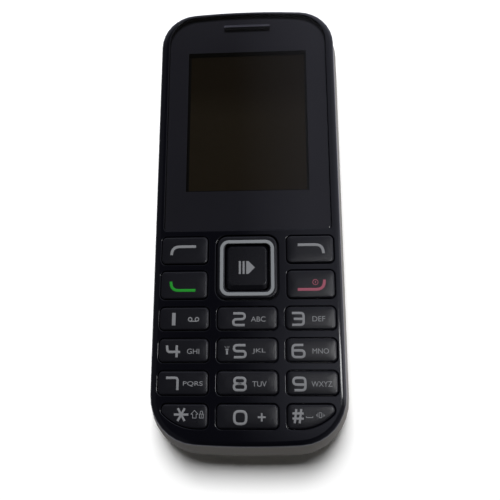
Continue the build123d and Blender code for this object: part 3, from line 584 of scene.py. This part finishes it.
# %% [markdown]
# Front cover
#
# The front half of the casing is one glossy black moulding, with a soft outer edge, a recess for the
# window and a lattice of bars between the keys. The bars' round edges catch the thin bright glints that
# outline the keys. The solid is grown to full height, hollowed from below, and every opening is cut by a
# plug that flares at the top.

# %% Where the openings are
PARTING, FRONT = 8.8, 12.4  # heights of the front cover's lower edge and face
BAR_LOW = 11.0  # underside of the bars
LEDGE_LOW, LEDGE_HIGH = 10.4, 11.2  # the ledge that carries the window
FLANGE = 0.4  # a key's flange reaches this far under the bars
elsewhere = ("key_domes", "key_select")
key_names = [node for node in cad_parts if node.startswith("key_") and node not in elsewhere]
corner_keys = ("key_star", "key_hash")
opening = {}
for key_name in key_names:
    low, high = box_mm(key_name)
    opening[key_name] = (low.x + FLANGE, high.x - FLANGE, low.y + FLANGE, high.y - FLANGE)
print("openings for keys", len(opening))

# %% Outlines of the keys
KEY_CORNER, LEAST_CORNER = 1.2, 0.1  # a key's corner radius, and its least
CORNER_SPARE = 0.02  # two corners of one side stay this far apart
CORNER_SWEEP = 10.85  # radius of the two corner keys' lower side
SWEEP_START = 2.35  # how far from their inner side it begins
NAV_MIDDLE = -12.53  # y of the navigation ring's middle


def middle_of(key_name):
    """Middle of a key, in plan."""
    if key_name == "key_select":
        return 0, NAV_MIDDLE
    left, right, low, high = opening[key_name]
    return (left + right) / 2, (low + high) / 2


def key_outline(key_name, inset, widened=0.0):
    """A key's opening drawn in by inset. The two corner keys follow the phone's round corners."""
    left, right, low, high = opening[key_name]
    half_x, half_y = (right - left) / 2 - inset, (high - low) / 2 - inset
    small = min(max(KEY_CORNER - inset + widened, LEAST_CORNER), half_y - CORNER_SPARE)
    if key_name not in corner_keys:
        return rectangle(middle_of(key_name), half_x, half_y, small)
    inner, outer = (left, right) if right > 0 else (-right, -left)
    big = CORNER_SWEEP - inset
    centre = (inner + SWEEP_START, low + CORNER_SWEEP)
    inner, outer, low, high = inner + inset, outer - inset, low + inset, high - inset
    rise = high - small - centre[1]
    reach = min(sqrt((big - small) ** 2 - rise ** 2), outer - small - centre[0])
    rise = -sqrt((big - small) ** 2 - reach ** 2)
    turn = degrees(atan2(rise, reach))
    points = arc(centre, big, -90, turn, 2 * ROUND_STEPS)
    points += arc((centre[0] + reach, centre[1] + rise), small, turn, 0)
    points += arc((centre[0] + reach, high - small), small, 0, 90)
    points += arc((inner + small, high - small), small, 90, 180)
    points += arc((inner + small, low + small), small, 180, 270)
    return points if right > 0 else [(-x, y) for x, y in reversed(points)]


NAV_HALF_X, NAV_HALF_Y = 7.05, 7.4
NAV_CORNER, NAV_LEAST_CORNER = 2.5, 0.3


def nav_outline(inset, corner=None):
    """The square round the navigation ring, drawn in by inset."""
    corner = max(NAV_CORNER - inset, NAV_LEAST_CORNER) if corner is None else corner
    return rectangle((0, NAV_MIDDLE), NAV_HALF_X - inset, NAV_HALF_Y - inset, corner)


print("points round a key", len(key_outline("key_5", 0)))

# %% Outlines of the window and the earpiece slot
window_box = box_mm("display_window")
WINDOW_GAP = 0.08  # between the window and its recess
WINDOW_FAR_CORNER, WINDOW_NEAR_CORNER = 7.2, 1


def window_outline(inset):
    """The window's recess drawn in by inset, bowed at the far end."""
    side, far = window_box[1].x + WINDOW_GAP - inset, window_box[1].y + WINDOW_GAP - inset
    near = window_box[0].y - WINDOW_GAP + inset
    foot = (side - WINDOW_NEAR_CORNER, near + WINDOW_NEAR_CORNER)
    lower = arc(foot, WINDOW_NEAR_CORNER, -90, 0)
    return both_sides(lower + bowed_end(side, far, WINDOW_FAR_CORNER - inset))


EAR_SLOT, EAR_HALF_X, EAR_HALF_Y = (0, 48.25), 5.7, 0.29


def ear_outline(inset):
    """The earpiece's slot drawn in by inset."""
    return rectangle(EAR_SLOT, EAR_HALF_X - inset, EAR_HALF_Y - inset, EAR_HALF_Y - inset)


print("points round the recess", len(window_outline(0)))

# %% Front cover
RIM_LEAN = 0.3  # how far the sides lean in up to the face
SKIRT_EDGE = 0.12  # the bevel of the lower edge
EDGE_ROUND, EDGE_REACH = 0.9, 1.3  # height and reach of the outer edge's roll


def rim_outline(level, inset=0.0):
    """The front cover's plan at a height."""
    lean = RIM_LEAN * (level - PARTING) / (FRONT - PARTING)
    return shoulder(1, lean + inset)


skirt = [(rim_outline(PARTING, SKIRT_EDGE), PARTING), (rim_outline(PARTING), PARTING + SKIRT_EDGE)]
face_edge = edge_in(lambda inset: rim_outline(FRONT, inset), FRONT, EDGE_ROUND, 8, EDGE_REACH)
front_cover = stack("front_cover_shell", skirt + face_edge)
print("faces, uncut", len(front_cover.data.polygons))

# %% Hollow, recess and openings of the front cover
WALL = 1.2
hollow = shoulder(1, WALL)
carve(front_cover, [upright(hollow, PARTING - PAST, LEDGE_LOW)])
KEYPAD_END = -4.7  # the keypad reaches up to here
keypad_side = [(x, min(y, KEYPAD_END)) for x, y in hollow]
under = LEDGE_LOW - JUST_PAST
carve(front_cover, [upright(keypad_side, under, BAR_LOW)])
BAR_ROUND, RECESS_ROUND = 0.24, 0.1
carve(front_cover, [plug(window_outline, LEDGE_HIGH, FRONT, RECESS_ROUND)])
DISPLAY_MIDDLE = (0, 23.75)
VIEW_HALF_X, VIEW_HALF_Y, VIEW_CORNER = 15, 18.5, 0.3  # the opening over the display
for outline in (rectangle(DISPLAY_MIDDLE, VIEW_HALF_X, VIEW_HALF_Y, VIEW_CORNER), ear_outline(0)):
    carve(front_cover, [upright(outline, under, LEDGE_HIGH + JUST_PAST)])
plug_low = BAR_LOW - JUST_PAST
plugs = []
for key_name in key_names:
    plugs.append(plug(lambda inset: key_outline(key_name, inset), plug_low, FRONT, BAR_ROUND))
plugs.append(plug(nav_outline, plug_low, FRONT, BAR_ROUND))
carve(front_cover, plugs)
complete(front_cover, "phone", "front_black", "front_cover")
print("front cover faces", len(front_cover.data.polygons))

# %% [markdown]
# Window
#
# A smoked panel fills the recess. Its underside is printed black except over the display, which shows as
# a slightly browner rectangle a little below the gloss. One finish does both: every face lets part of the
# light through, and a mask in the phone's own millimetres closes the underside.

# %% Finish of the window
CLEAR_HALF_X, CLEAR_HALF_Y = 14.48, 17.98  # the unprinted part
UNDERSIDE = 11.4  # faces below this height are printed
SMOKE = 0.34  # how much one face of the smoked panel holds back


def from_display(finish):
    """How far a point lies across and along from the display's middle."""
    return finish.axis("X"), finish.axis("Y") - DISPLAY_MIDDLE[1]


def within(spot, half_x, half_y):
    """1 inside a rectangle and 0 outside."""
    across, along = spot
    return (across < half_x) * (across > -half_x) * (along < half_y) * (along > -half_y)


glass = Finish("window_glass", roughness=0.05, specular_IOR_level=0.5)
clear = within(from_display(glass), CLEAR_HALF_X, CLEAR_HALF_Y)
printed = (glass.axis("Z") < UNDERSIDE) * (1 - clear)
ink = glass.blend(glass.noise(14.0), linear(32, 32, 38), linear(37, 37, 44))
glass.feed(base_color=glass.blend(printed, linear(9, 8, 6), ink))
glass.feed(alpha=printed * (1 - SMOKE) + SMOKE)
glass.bump(glass.noise(11.0, 1.0), 0.003)
print("window nodes", len(glass.tree.nodes))

# %% Window
ADHESIVE_CLEAR = 0.02  # over the adhesive
WINDOW_EDGE, SLOT_EDGE = 0.15, 0.02  # radii of the panel's rim and slot
window_low, window_high = window_box[0].z + ADHESIVE_CLEAR, window_box[1].z
panel = [(window_outline(WINDOW_GAP), window_low)]
panel += edge_in(lambda inset: window_outline(WINDOW_GAP + inset), window_high, WINDOW_EDGE)
window = stack("display_window_panel", panel)
carve(window, [plug(ear_outline, window_low - PAST, window_high, SLOT_EDGE)])
complete(window, "phone", "window_glass", "display_window", finish=glass)
print("window faces", len(window.data.polygons))

# %% [markdown]
# Earpiece grille
#
# The slot over the earpiece is closed by a black strip with two rows of fine holes, so that no lint falls
# in. The holes' thin cutters are joined to one mesh, so the strip is cut only once.

# %% Earpiece grille
SINK, STRIP = 0.01, 0.4  # the strip's face and underside, below the window's face
STRIP_GAP = 0.02
HOLE, PITCH, ROW = 0.08, 0.42, 0.12  # a hole's radius, its pitch, a row's distance from the middle
STAGGER = 0.25  # the rows' shift, in shares of a pitch
strip = ear_outline(STRIP_GAP)
grille = stack("earpiece_grille", [(strip, window_high - STRIP), (strip, window_high - SINK)])
drills = []
for column in range(-12, 13):
    for side in (-1, 1):
        spot = (EAR_SLOT[0] + (column + side * STAGGER) * PITCH, EAR_SLOT[1] + side * ROW)
        drills.append(upright(circle(spot, HOLE, 8), window_high - PAST, window_high))
carve(grille, [joined(drills)])
complete(grille, "phone", "mesh_black")
print("holes", len(drills))

# %% [markdown]
# Keys
#
# A key is a satin cap with soft edges and a barely crowned top, on a flange that keeps it under the bars.
# The crown is a few more levels that draw in towards the key's middle and rise by a tenth of a
# millimetre, so that a row of keys catches the light as a gradient and not as flat tiles.

# %% Keys
KEY_TOP, KEY_GAP = 12.8, 0.14  # the top's height, the gap to the bars
FLANGE_LIFT = 0.04  # clear of the housing's lip at full press
FLANGE_HIGH = 0.5  # the flange's upper face over the key's lowest point
CAP_ROUND, CROWN, CROWN_REACH = 0.42, 0.1, 2.1
CROWN_SHARES = (0.12, 0.25, 0.4, 0.55, 0.75, 1.0)
caps = {}


def cap_levels(key_name, base):
    """The round edge of a key and its crown, whose levels have ever rounder corners."""
    levels = [(key_outline(key_name, KEY_GAP), base)]
    levels += edge_in(lambda inset: key_outline(key_name, KEY_GAP + inset), KEY_TOP - CROWN, CAP_ROUND, 6)
    for share in CROWN_SHARES:
        inset = share * (CROWN_REACH - CAP_ROUND)
        outline = key_outline(key_name, KEY_GAP + CAP_ROUND + inset, 2 * inset)
        levels.append((outline, KEY_TOP - CROWN * (1 - share) ** 2))
    return levels


for key_name in key_names:
    low, high = box_mm(key_name)
    flange = key_outline(key_name, -FLANGE)
    levels = [(flange, low.z + FLANGE_LIFT), (flange, low.z + FLANGE_HIGH)]
    levels += cap_levels(key_name, low.z + FLANGE_HIGH)
    caps[key_name] = stack(key_name + "_cap", levels)
    complete(caps[key_name], key_name, "key_black", key_name)
print("keys", len(caps))

# %% [markdown]
# Navigation ring
#
# The rocker is a square black ring that stands a little prouder than the keys, with a silver band on it.
# The middle key sits sunk inside it: a narrow bevel, wider towards the digits, draws in its flat top.

# %% Navigation ring
RING_FLANGE, RING_GAP, RING_ROUND = 0.35, 0.3, 0.45
FLANGE_TOP = 10.45
RING_WIDTH, HOLE_CORNER, HOLE_ROUND = 2.05, 1.2, 0.25  # the hole is for the middle key
ring_low, ring_high = box_mm("nav_ring")
ring_flange = nav_outline(-RING_FLANGE)
ring_levels = [(ring_flange, ring_low.z), (ring_flange, FLANGE_TOP), (nav_outline(RING_GAP), FLANGE_TOP)]
ring_levels += edge_in(lambda inset: nav_outline(RING_GAP + inset), ring_high.z, RING_ROUND, 6)
nav_ring = stack("nav_ring_base", ring_levels)


def ring_opening(inset):
    """The hole for the middle key, drawn in by inset."""
    return nav_outline(RING_WIDTH + inset, HOLE_CORNER - inset)


carve(nav_ring, [plug(ring_opening, ring_low.z - PAST, ring_high.z, HOLE_ROUND)])
complete(nav_ring, "nav_ring", "key_black", "nav_ring")
print("ring height", round(ring_high.z - FRONT, 2), "mm over the front")

# %% Silver band
BAND_SHIFT = 0.18  # the band sits this much nearer to the digits
BAND_IN_X, BAND_IN_Y = 0.95, 1.08  # its outer edge inside the square's
BAND_CORNER, BAND_WIDTH, BAND_ROUND = 2.0, 0.8, 0.14
SUNK = 0.04  # it dips into the ring by this much
band_low, band_high = box_mm("nav_trim")


def band_outline(inset):
    """The silver band's outer edge, drawn in by inset."""
    half_x, half_y = NAV_HALF_X - BAND_IN_X - inset, NAV_HALF_Y - BAND_IN_Y - inset
    corner = max(BAND_CORNER - inset, NAV_LEAST_CORNER)
    return rectangle((0, NAV_MIDDLE - BAND_SHIFT), half_x, half_y, corner)


band_levels = [(band_outline(0), band_low.z - SUNK)] + edge_in(band_outline, band_high.z, BAND_ROUND)
nav_band = stack("nav_trim_band", band_levels)
middle = plug(lambda inset: band_outline(BAND_WIDTH + inset), band_low.z - PAST, band_high.z, BAND_ROUND)
carve(nav_band, [middle])
complete(nav_band, "nav_ring", "trim_silver", "nav_trim")
print("band", BAND_WIDTH, "mm wide")

# %% Middle key
SELECT_IN = 2.27  # its side inside the square's
SELECT_CORNER, SELECT_LEAST_CORNER = 1.5, 0.6
SELECT_BASE, STEM = 11.3, 1.2  # the cap's underside, the stem's radius
select_low, select_high = box_mm("key_select")
stem = rectangle((0, NAV_MIDDLE), STEM, STEM, STEM)


def select_outline(inset, lower_bevel=0.0):
    """The middle key's outline, drawn in by inset and further at its lower side."""
    half_x, half_y = NAV_HALF_X - SELECT_IN - inset, NAV_HALF_Y - SELECT_IN - inset - lower_bevel / 2
    corner = max(SELECT_CORNER - inset, SELECT_LEAST_CORNER)
    return rectangle((0, NAV_MIDDLE + lower_bevel / 2), half_x, half_y, corner)


select_bevel = ((0, 0, 0.55), (0.06, 0, 0.42), (0.5, 0.5, 0.07), (0.66, 0.55, 0))  # insets, depth
select_levels = [(stem, select_low.z), (stem, SELECT_BASE), (select_outline(0), SELECT_BASE)]
for inset, lower, depth in select_bevel:
    select_levels.append((select_outline(inset, lower), select_high.z - depth))
caps["key_select"] = stack("key_select_cap", select_levels)
complete(caps["key_select"], "key_select", "key_black", "key_select", finish=look["middle_black"])
print("caps", len(caps))

# %% [markdown]
# Printed marks
#
# The digits, letters and signs are printed on the keys. They are thick strokes with round corners, so
# each is drawn as a curve along its middle line with a round bevel, made a mesh, pressed flat to the
# thickness of ink and settled on the crown of its key. Letters are set in Blender's own font. A drawing's
# points are in millimetres from the middle of its key.

# %% Drawing strokes
INK = 0.03  # millimetres that the print stands proud of a key
CORNER_STEPS = 5
END_SHARE, INNER_SHARE = 0.95, 0.5  # shares of an end or inner piece that a round may take


def rounded_line(points, radius):
    """A line through points, with every inner corner rounded."""
    line = [Vector(points[0])]
    last = len(points) - 2
    for place, (before, corner, after) in enumerate(zip(points, points[1:], points[2:]), 1):
        corner = Vector(corner)
        back, forth = (Vector(before) - corner), (Vector(after) - corner)
        back_share = END_SHARE if place == 1 else INNER_SHARE
        forth_share = END_SHARE if place == last else INNER_SHARE
        start = corner + back.normalized() * min(radius, back.length * back_share)
        end = corner + forth.normalized() * min(radius, forth.length * forth_share)
        for step in range(CORNER_STEPS + 1):
            share = step / CORNER_STEPS
            line.append(start * (1 - share) ** 2 + corner * 2 * share * (1 - share) + end * share ** 2)
    return line + [Vector(points[-1])]


INK_STEP = 0.3  # ink follows the crown at points this far apart


def spaced(line):
    """The same line with points no more than a step apart."""
    points = [line[0]]
    for start, end in zip(line, line[1:]):
        parts = max(1, ceil((end - start).length / INK_STEP))
        points += [start.lerp(end, part / parts) for part in range(1, parts + 1)]
    return points


def stroke(points, width, radius=0.0, closed=False):
    """A flat line of ink of a given width, in millimetres."""
    if closed:
        first = (Vector(points[0]) + Vector(points[1])) / 2
        points = [first] + list(points[1:]) + [points[0], first]
    line = rounded_line(points, radius) if radius else [Vector(point) for point in points]
    line = spaced(line)
    if closed:
        line.pop()
    path = bpy.data.curves.new("stroke", "CURVE")
    path.dimensions = "3D"
    path.bevel_depth = width / 2 * MM
    path.bevel_resolution = 2
    path.use_fill_caps = True
    spline = path.splines.new("POLY")
    spline.points.add(len(line) - 1)
    for spot, point in zip(spline.points, line):
        spot.co = (point.x * MM, point.y * MM, 0, 1)
    spline.use_cyclic_u = closed
    drawn = bpy.data.objects.new("stroke", path)
    bpy.context.scene.collection.objects.link(drawn)
    only(drawn)
    bpy.ops.object.convert(target="MESH")
    flat = bpy.context.object
    for vertex in flat.data.vertices:
        vertex.co.z *= INK / width * 2
    return flat


def letters(text, middle, width, height):
    """A word in the built-in font, made to fit a width and height."""
    bpy.ops.object.select_all(action="DESELECT")
    bpy.ops.object.text_add()
    word = bpy.context.object
    word.data.body = text
    word.data.extrude = INK * MM
    bpy.ops.object.convert(target="MESH")
    word = bpy.context.object
    for axis, size in enumerate((width, height)):
        spread = [vertex.co[axis] for vertex in word.data.vertices]
        stretch = size * MM / (max(spread) - min(spread))
        centre = (max(spread) + min(spread)) / 2
        for vertex in word.data.vertices:
            vertex.co[axis] = (vertex.co[axis] - centre) * stretch + middle[axis] * MM
    return word


DROP_FROM = 0.02  # metres: higher than any key


def print_on(key_name, marks, finish="print_grey"):
    """Joins marks to one print, moves them to a key and settles them on its surface."""
    middle = middle_of(key_name)
    ink = joined(marks)
    ink.name = key_name + "_print"
    ink.data.name = ink.name
    surface = BVHTree.FromPolygons(
        [vertex.co for vertex in caps[key_name].data.vertices],
        [face.vertices for face in caps[key_name].data.polygons],
    )
    for vertex in ink.data.vertices:
        spot = Vector((vertex.co.x + middle[0] * MM, vertex.co.y + middle[1] * MM, DROP_FROM))
        touch = surface.ray_cast(spot, Vector((0, 0, -1)))[0]
        vertex.co = (spot.x, spot.y, touch.z + vertex.co.z)
    only(ink)
    bpy.ops.object.shade_smooth_by_angle(angle=radians(SMOOTH_BELOW))
    look[finish].coat(ink)
    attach(ink, key_name)


# %% Digits
DIGIT_X, DIGIT_Y, DIGIT_LINE = 2.52, 2.56, 0.53  # middle lines' width and height, and the stroke


def digit(strokes, offset):
    """One digit round the point offset, from strokes in shares of its width and height."""
    drawn = []
    for points, *shape in strokes:
        line = [(offset[0] + (x - 0.5) * DIGIT_X, offset[1] + (y - 0.5) * DIGIT_Y) for x, y in points]
        drawn.append(stroke(line, DIGIT_LINE, *shape))
    return drawn


SOFT = 0.75  # radius of a digit's corners
digit_strokes = {
    "key_2": [([(0, 1), (1, 1), (1, 0.5), (0, 0.5), (0, 0), (1, 0)], SOFT)],
    "key_3": [
        ([(0, 1), (1, 1), (1, 0.5), (1, 0), (0, 0)], SOFT),
        ([(0.15, 0.5), (0.95, 0.5)], 0),
    ],
    "key_4": [([(0, 1), (0.06, 0.45), (1.16, 0.45)], 0.5), ([(0.86, 1), (0.86, 0)], 0)],
    "key_5": [([(1, 1), (0, 1), (0, 0.5), (1, 0.5), (1, 0), (0, 0)], SOFT)],
    "key_6": [([(0.92, 1), (0, 1), (0, 0), (1, 0), (1, 0.55), (0, 0.55)], SOFT)],
    "key_7": [([(0, 1), (1, 1), (1, 0)], 0.6)],
    "key_8": [
        ([(0.04, 1), (0.96, 1), (0.96, 0.52), (0.04, 0.52)], SOFT, True),
        ([(0, 0), (1, 0), (1, 0.52), (0, 0.52)], SOFT, True),
    ],
    "key_9": [([(0.08, 0), (1, 0), (1, 1), (0, 1), (0, 0.45), (1, 0.45)], SOFT)],
    "key_0": [([(0, 0), (1, 0), (1, 1), (0, 1)], 1.0, True)],
}
digit_words = {  # the digit's middle, the letters, their middle and how wide they run
    "key_2": (-1.8, "ABC", 2.43, 3.2), "key_3": (-2.85, "DEF", 1.7, 2.75),
    "key_4": (-2.4, "GHI", 2.13, 2.7), "key_5": (-1.63, "JKL", 2.56, 2.85),
    "key_6": (-2.85, "MNO", 1.92, 3.5), "key_7": (-2.4, "PQRS", 2.2, 4.25),
    "key_8": (-1.6, "TUV", 2.62, 3.05), "key_9": (-2.8, "WXYZ", 1.97, 4.4),
    "key_0": (-1.5, "", 0, 0),
}
DIGIT_LEVEL, WORD_LEVEL, WORD_HEIGHT = -0.16, -0.15, 1.1
TORCH_X, TORCH_RAY = -4.4, 0.13
PLUS_LINE = 0.36
for key_name, (digit_x, word, word_x, word_width) in digit_words.items():
    marks = digit(digit_strokes[key_name], (digit_x, DIGIT_LEVEL))
    if word:
        marks.append(letters(word, (word_x, WORD_LEVEL), word_width, WORD_HEIGHT))
    if key_name == "key_5":
        marks.append(stroke([(TORCH_X, -0.85), (TORCH_X, 0.0)], 0.42))
        marks.append(stroke([(-4.72, 0.2), (-4.08, 0.2)], 0.34))
        for ray in (-1, 0, 1):
            marks.append(stroke([(TORCH_X + 0.34 * ray, 0.58), (TORCH_X + 0.46 * ray, 0.9)], TORCH_RAY))
    if key_name == "key_0":
        marks.append(stroke([(2.22, -0.08), (3.9, -0.08)], PLUS_LINE))
        marks.append(stroke([(3.06, -0.92), (3.06, 0.76)], PLUS_LINE))
    print_on(key_name, marks)
print("digits", len(digit_words))

# %% Signs on the digit keys
BOLD, THIN = 0.46, 0.13
TAPE_LINE, REEL = 0.22, 0.4  # the tape sign's stroke and the radius of its reels
reels = ((1.32, -0.14), (2.84, -0.14))
tape = [stroke([(-2.32, -1.45), (-2.32, 1.3)], 0.78)]  # the digit, then the sign beside it
tape += [stroke(circle(reel, REEL, 16), TAPE_LINE, closed=True) for reel in reels]
tape.append(stroke([(1.32, -0.56), (2.84, -0.56)], TAPE_LINE))
print_on("key_1", tape)

STAR_X, STAR_Y, STAR_WIDE, STAR_HIGH = -0.63, 0.4, 1.55, 1.5
star = []
for turn in (radians(angle) for angle in (0, 60, 120)):
    reach = STAR_HIGH if turn else STAR_WIDE
    across, along = reach * cos(turn), reach * sin(turn)
    star.append(stroke([(STAR_X - across, STAR_Y - along), (STAR_X + across, STAR_Y + along)], BOLD))
arrow = [(2.22, 1.25), (3.0, 0.5), (2.6, 0.5), (2.6, -0.3), (1.84, -0.3), (1.84, 0.5), (1.44, 0.5)]
star.append(stroke(arrow, THIN, 0.02, True))
star.append(stroke([(3.3, -0.28), (4.14, -0.28), (4.14, 0.5), (3.3, 0.5)], THIN, 0.05, True))
star.append(stroke([(3.46, 0.5), (3.46, 1.12), (3.98, 1.12), (3.98, 0.5)], THIN, 0.25))
star.append(stroke([(3.72, -0.02), (3.72, 0.24)], 0.16))
print_on("key_star", star)

fence = []
for shift in (-0.52, 0.52):
    fence.append(stroke([(-3.0 + shift, -1.25), (-2.6 + shift, 1.6)], BOLD))
    fence.append(stroke([(-3.95, 0.2 + shift), (-1.6, 0.2 + shift)], BOLD))
fence.append(stroke([(-1.05, 0.15), (-1.05, -0.1), (0.3, -0.1), (0.3, 0.15)], 0.15, 0.05))
BUZZ_X, BUZZ_Y = 1.9, 0.38  # the vibration sign: a handset and two waves on each side
handset = [(BUZZ_X + x, BUZZ_Y + y) for x, y in ((-0.26, -0.5), (0.26, -0.5), (0.26, 0.5), (-0.26, 0.5))]
fence.append(stroke(handset, THIN, 0.08, True))
for side in (-1, 1):
    for gap, half in ((0.52, 0.36), (0.78, 0.2)):
        x = BUZZ_X + gap * side
        fence.append(stroke([(x, BUZZ_Y - half), (x + 0.08 * side, BUZZ_Y), (x, BUZZ_Y + half)], 0.11, 0.1))
print_on("key_hash", fence)
print("strokes", len(tape), len(star), len(fence))

# %% Hooks, power sign and play sign
HOOK_LINE, HOOK_ROUND = 0.62, 1.7
POWER_MIDDLE, POWER_RADIUS = (0.97, 0.4), 0.58
hooks = {
    "key_soft_left": ([(-3.0, -1.05), (-2.9, 0.86), (2.55, 0.86)], "print_grey"),
    "key_soft_right": ([(2.95, -1.0), (2.85, 0.98), (-2.75, 0.98)], "print_grey"),
    "key_call": ([(-2.95, 0.8), (-2.88, -1.2), (2.6, -1.2)], "print_green"),
    "key_end": ([(2.98, 0.95), (2.85, -1.2), (-2.95, -1.2)], "print_red"),
}
for key_name, (line, ink) in hooks.items():
    marks = [stroke(line, HOOK_LINE, HOOK_ROUND)]
    if key_name == "key_end":
        marks.append(stroke(circle(POWER_MIDDLE, POWER_RADIUS, 20), 0.15, closed=True))
        marks.append(stroke([(0.97, 0.18), (0.97, 0.66)], 0.16))
    print_on(key_name, marks, ink)
PLAY_LOW, PLAY_HIGH, BAR_HALF = -1.55, 1.35, 0.23  # two bars and an arrow head
play = []
for x in (-1.63, -0.78):
    left, right = x - BAR_HALF, x + BAR_HALF
    bar = [(left, PLAY_LOW), (right, PLAY_LOW), (right, PLAY_HIGH), (left, PLAY_HIGH)]
    play.append(upright(bar, -INK, INK))
head = [(-0.2, PLAY_LOW), (0.3, PLAY_LOW), (1.75, -0.1), (0.3, PLAY_HIGH), (-0.2, PLAY_HIGH)]
play.append(upright(head, -INK, INK))
print_on("key_select", play)
print("signs", len(hooks) + 1)

# %% [markdown]
# Battery cover
#
# The grey shell wraps the back and the sides up to the parting line. Its section is one soft curve: a
# wide round at the back, and from the widest level a shoulder that leans in. The outer surface and the
# hollow are stacks of levels along that curve, and the loudspeaker's slots have softened rims.

# %% Battery cover
BACK_ROUND = 5.4  # radius of the round at the back
WIDEST, PARTING_LOW = 5.5, 8.6  # heights where the shoulder begins and ends
COVER_WALL = 1.0
BACK_STEPS, SHOULDER_STEPS = 12, 8


def shell_levels(inset):
    """The cover's section, drawn in by inset."""
    levels = []
    radius = BACK_ROUND - inset
    for turn in quarter(BACK_STEPS):
        levels.append((shoulder(0, inset + radius * (1 - sin(turn))), inset + radius * (1 - cos(turn))))
    for step in range(SHOULDER_STEPS + 1):
        share = step / SHOULDER_STEPS
        levels.append((shoulder(share, inset), WIDEST + (PARTING_LOW - WIDEST) * share))
    return levels


cover = stack("battery_cover_shell", shell_levels(0))
inside = shell_levels(COVER_WALL)
inside.append((inside[-1][0], PARTING_LOW + PAST))
carve(cover, [stack("inside", inside)])
print("faces, uncut", len(cover.data.polygons))

# %% Notch and loudspeaker slots
NOTCH_LOW, NOTCH_HIGH = 1.75, 8.75
notch = rectangle((0, 55.7), 14.15, 5, 0.3)  # round the sockets at the far end
carve(cover, [upright(notch, NOTCH_LOW, NOTCH_HIGH)])
SLOTS_X, SLOTS_Y, SLOT_STEP = -8.0, 31.3, 1.7
SLOT_HALF, SLOT_ROUND, SLOT_RIM = 4, 0.4, 0.2


def loudspeaker_slot(step):
    """A cutter for one slot, counted from the middle one, with a flared rim on the back."""
    middle = (SLOTS_X, SLOTS_Y + step * SLOT_STEP)
    rim = rectangle(middle, SLOT_HALF + SLOT_RIM, SLOT_ROUND + SLOT_RIM, SLOT_ROUND + SLOT_RIM)
    throat = rectangle(middle, SLOT_HALF, SLOT_ROUND, SLOT_ROUND)
    return stack("slot", [(rim, -JUST_PAST), (rim, 0), (throat, SLOT_RIM), (throat, COVER_WALL + JUST_PAST)])


carve(cover, [loudspeaker_slot(step) for step in (-2, -1, 0, 1, 2)])
complete(cover, "cover", "cover_grey", "battery_cover")
print("battery cover faces", len(cover.data.polygons))

# %% [markdown]
# Inside the phone
#
# Behind the cover and the window the CAD pieces themselves show: board, battery, metal cans, silicone
# mat. Their shapes are right as they are, so each only takes the finish of its material. The display's
# finish also carries a painted reflection.

# %% Finishes of the inner pieces
inner_pieces = {
    "black_film": "window_gasket",
    "mesh_black": "earpiece_mesh",
    "housing_black": "rear_housing nav_plate",
    "silicone": "keypad_mat",
    "spring_steel": "key_domes",
    "film_clear": "dome_film",
    "led_white": "keypad_leds lcd_backlight torch_led",
    "board_green": "main_board",
    "shield_metal": "shield_cans earpiece_speaker microphone motor_can sim_holder "
    "memory_card_socket usb_socket",
    "chip_black": "board_chips loudspeaker battery_connector",
    "inner_plastic": "lcd_frame",
    "flex_amber": "lcd_flex",
    "foam_black": "loudspeaker_gasket mic_boot",
    "weight_metal": "motor_weight",
    "battery_shell": "battery",
    "contact_gold": "battery_springs antenna",
    "jack_black": "headset_jack",
    "lens_clear": "torch_lens",
    "screw_steel": "housing_screws",
}
dressed = {node: look[name] for name, nodes in inner_pieces.items() for node in nodes.split()}
LIT_HALF_X, LIT_HALF_Y = 14, 17.5  # the display's active area
panel_glass = Finish("lcd_glass", roughness=0.2, specular_IOR_level=0.25)
spot = from_display(panel_glass)
lit = within(spot, LIT_HALF_X, LIT_HALF_Y)
painted_reflection = spot[1].between(1.0, 9.0)  # painted reflection: the far part is coloured darker, like the room's darker end mirrored in it
screen = panel_glass.blend(panel_glass.noise(16.0), linear(44, 37, 26), linear(51, 43, 30))
# painted reflection: the display's colour darkens towards its far end
screen = panel_glass.blend(painted_reflection, screen, linear(34, 26, 14))
panel_glass.feed(base_color=panel_glass.blend(lit, linear(12, 12, 14), screen))
dressed["lcd_panel"] = panel_glass
for node, finish in dressed.items():
    finish.coat(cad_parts[node])
print("inner pieces", len(dressed))
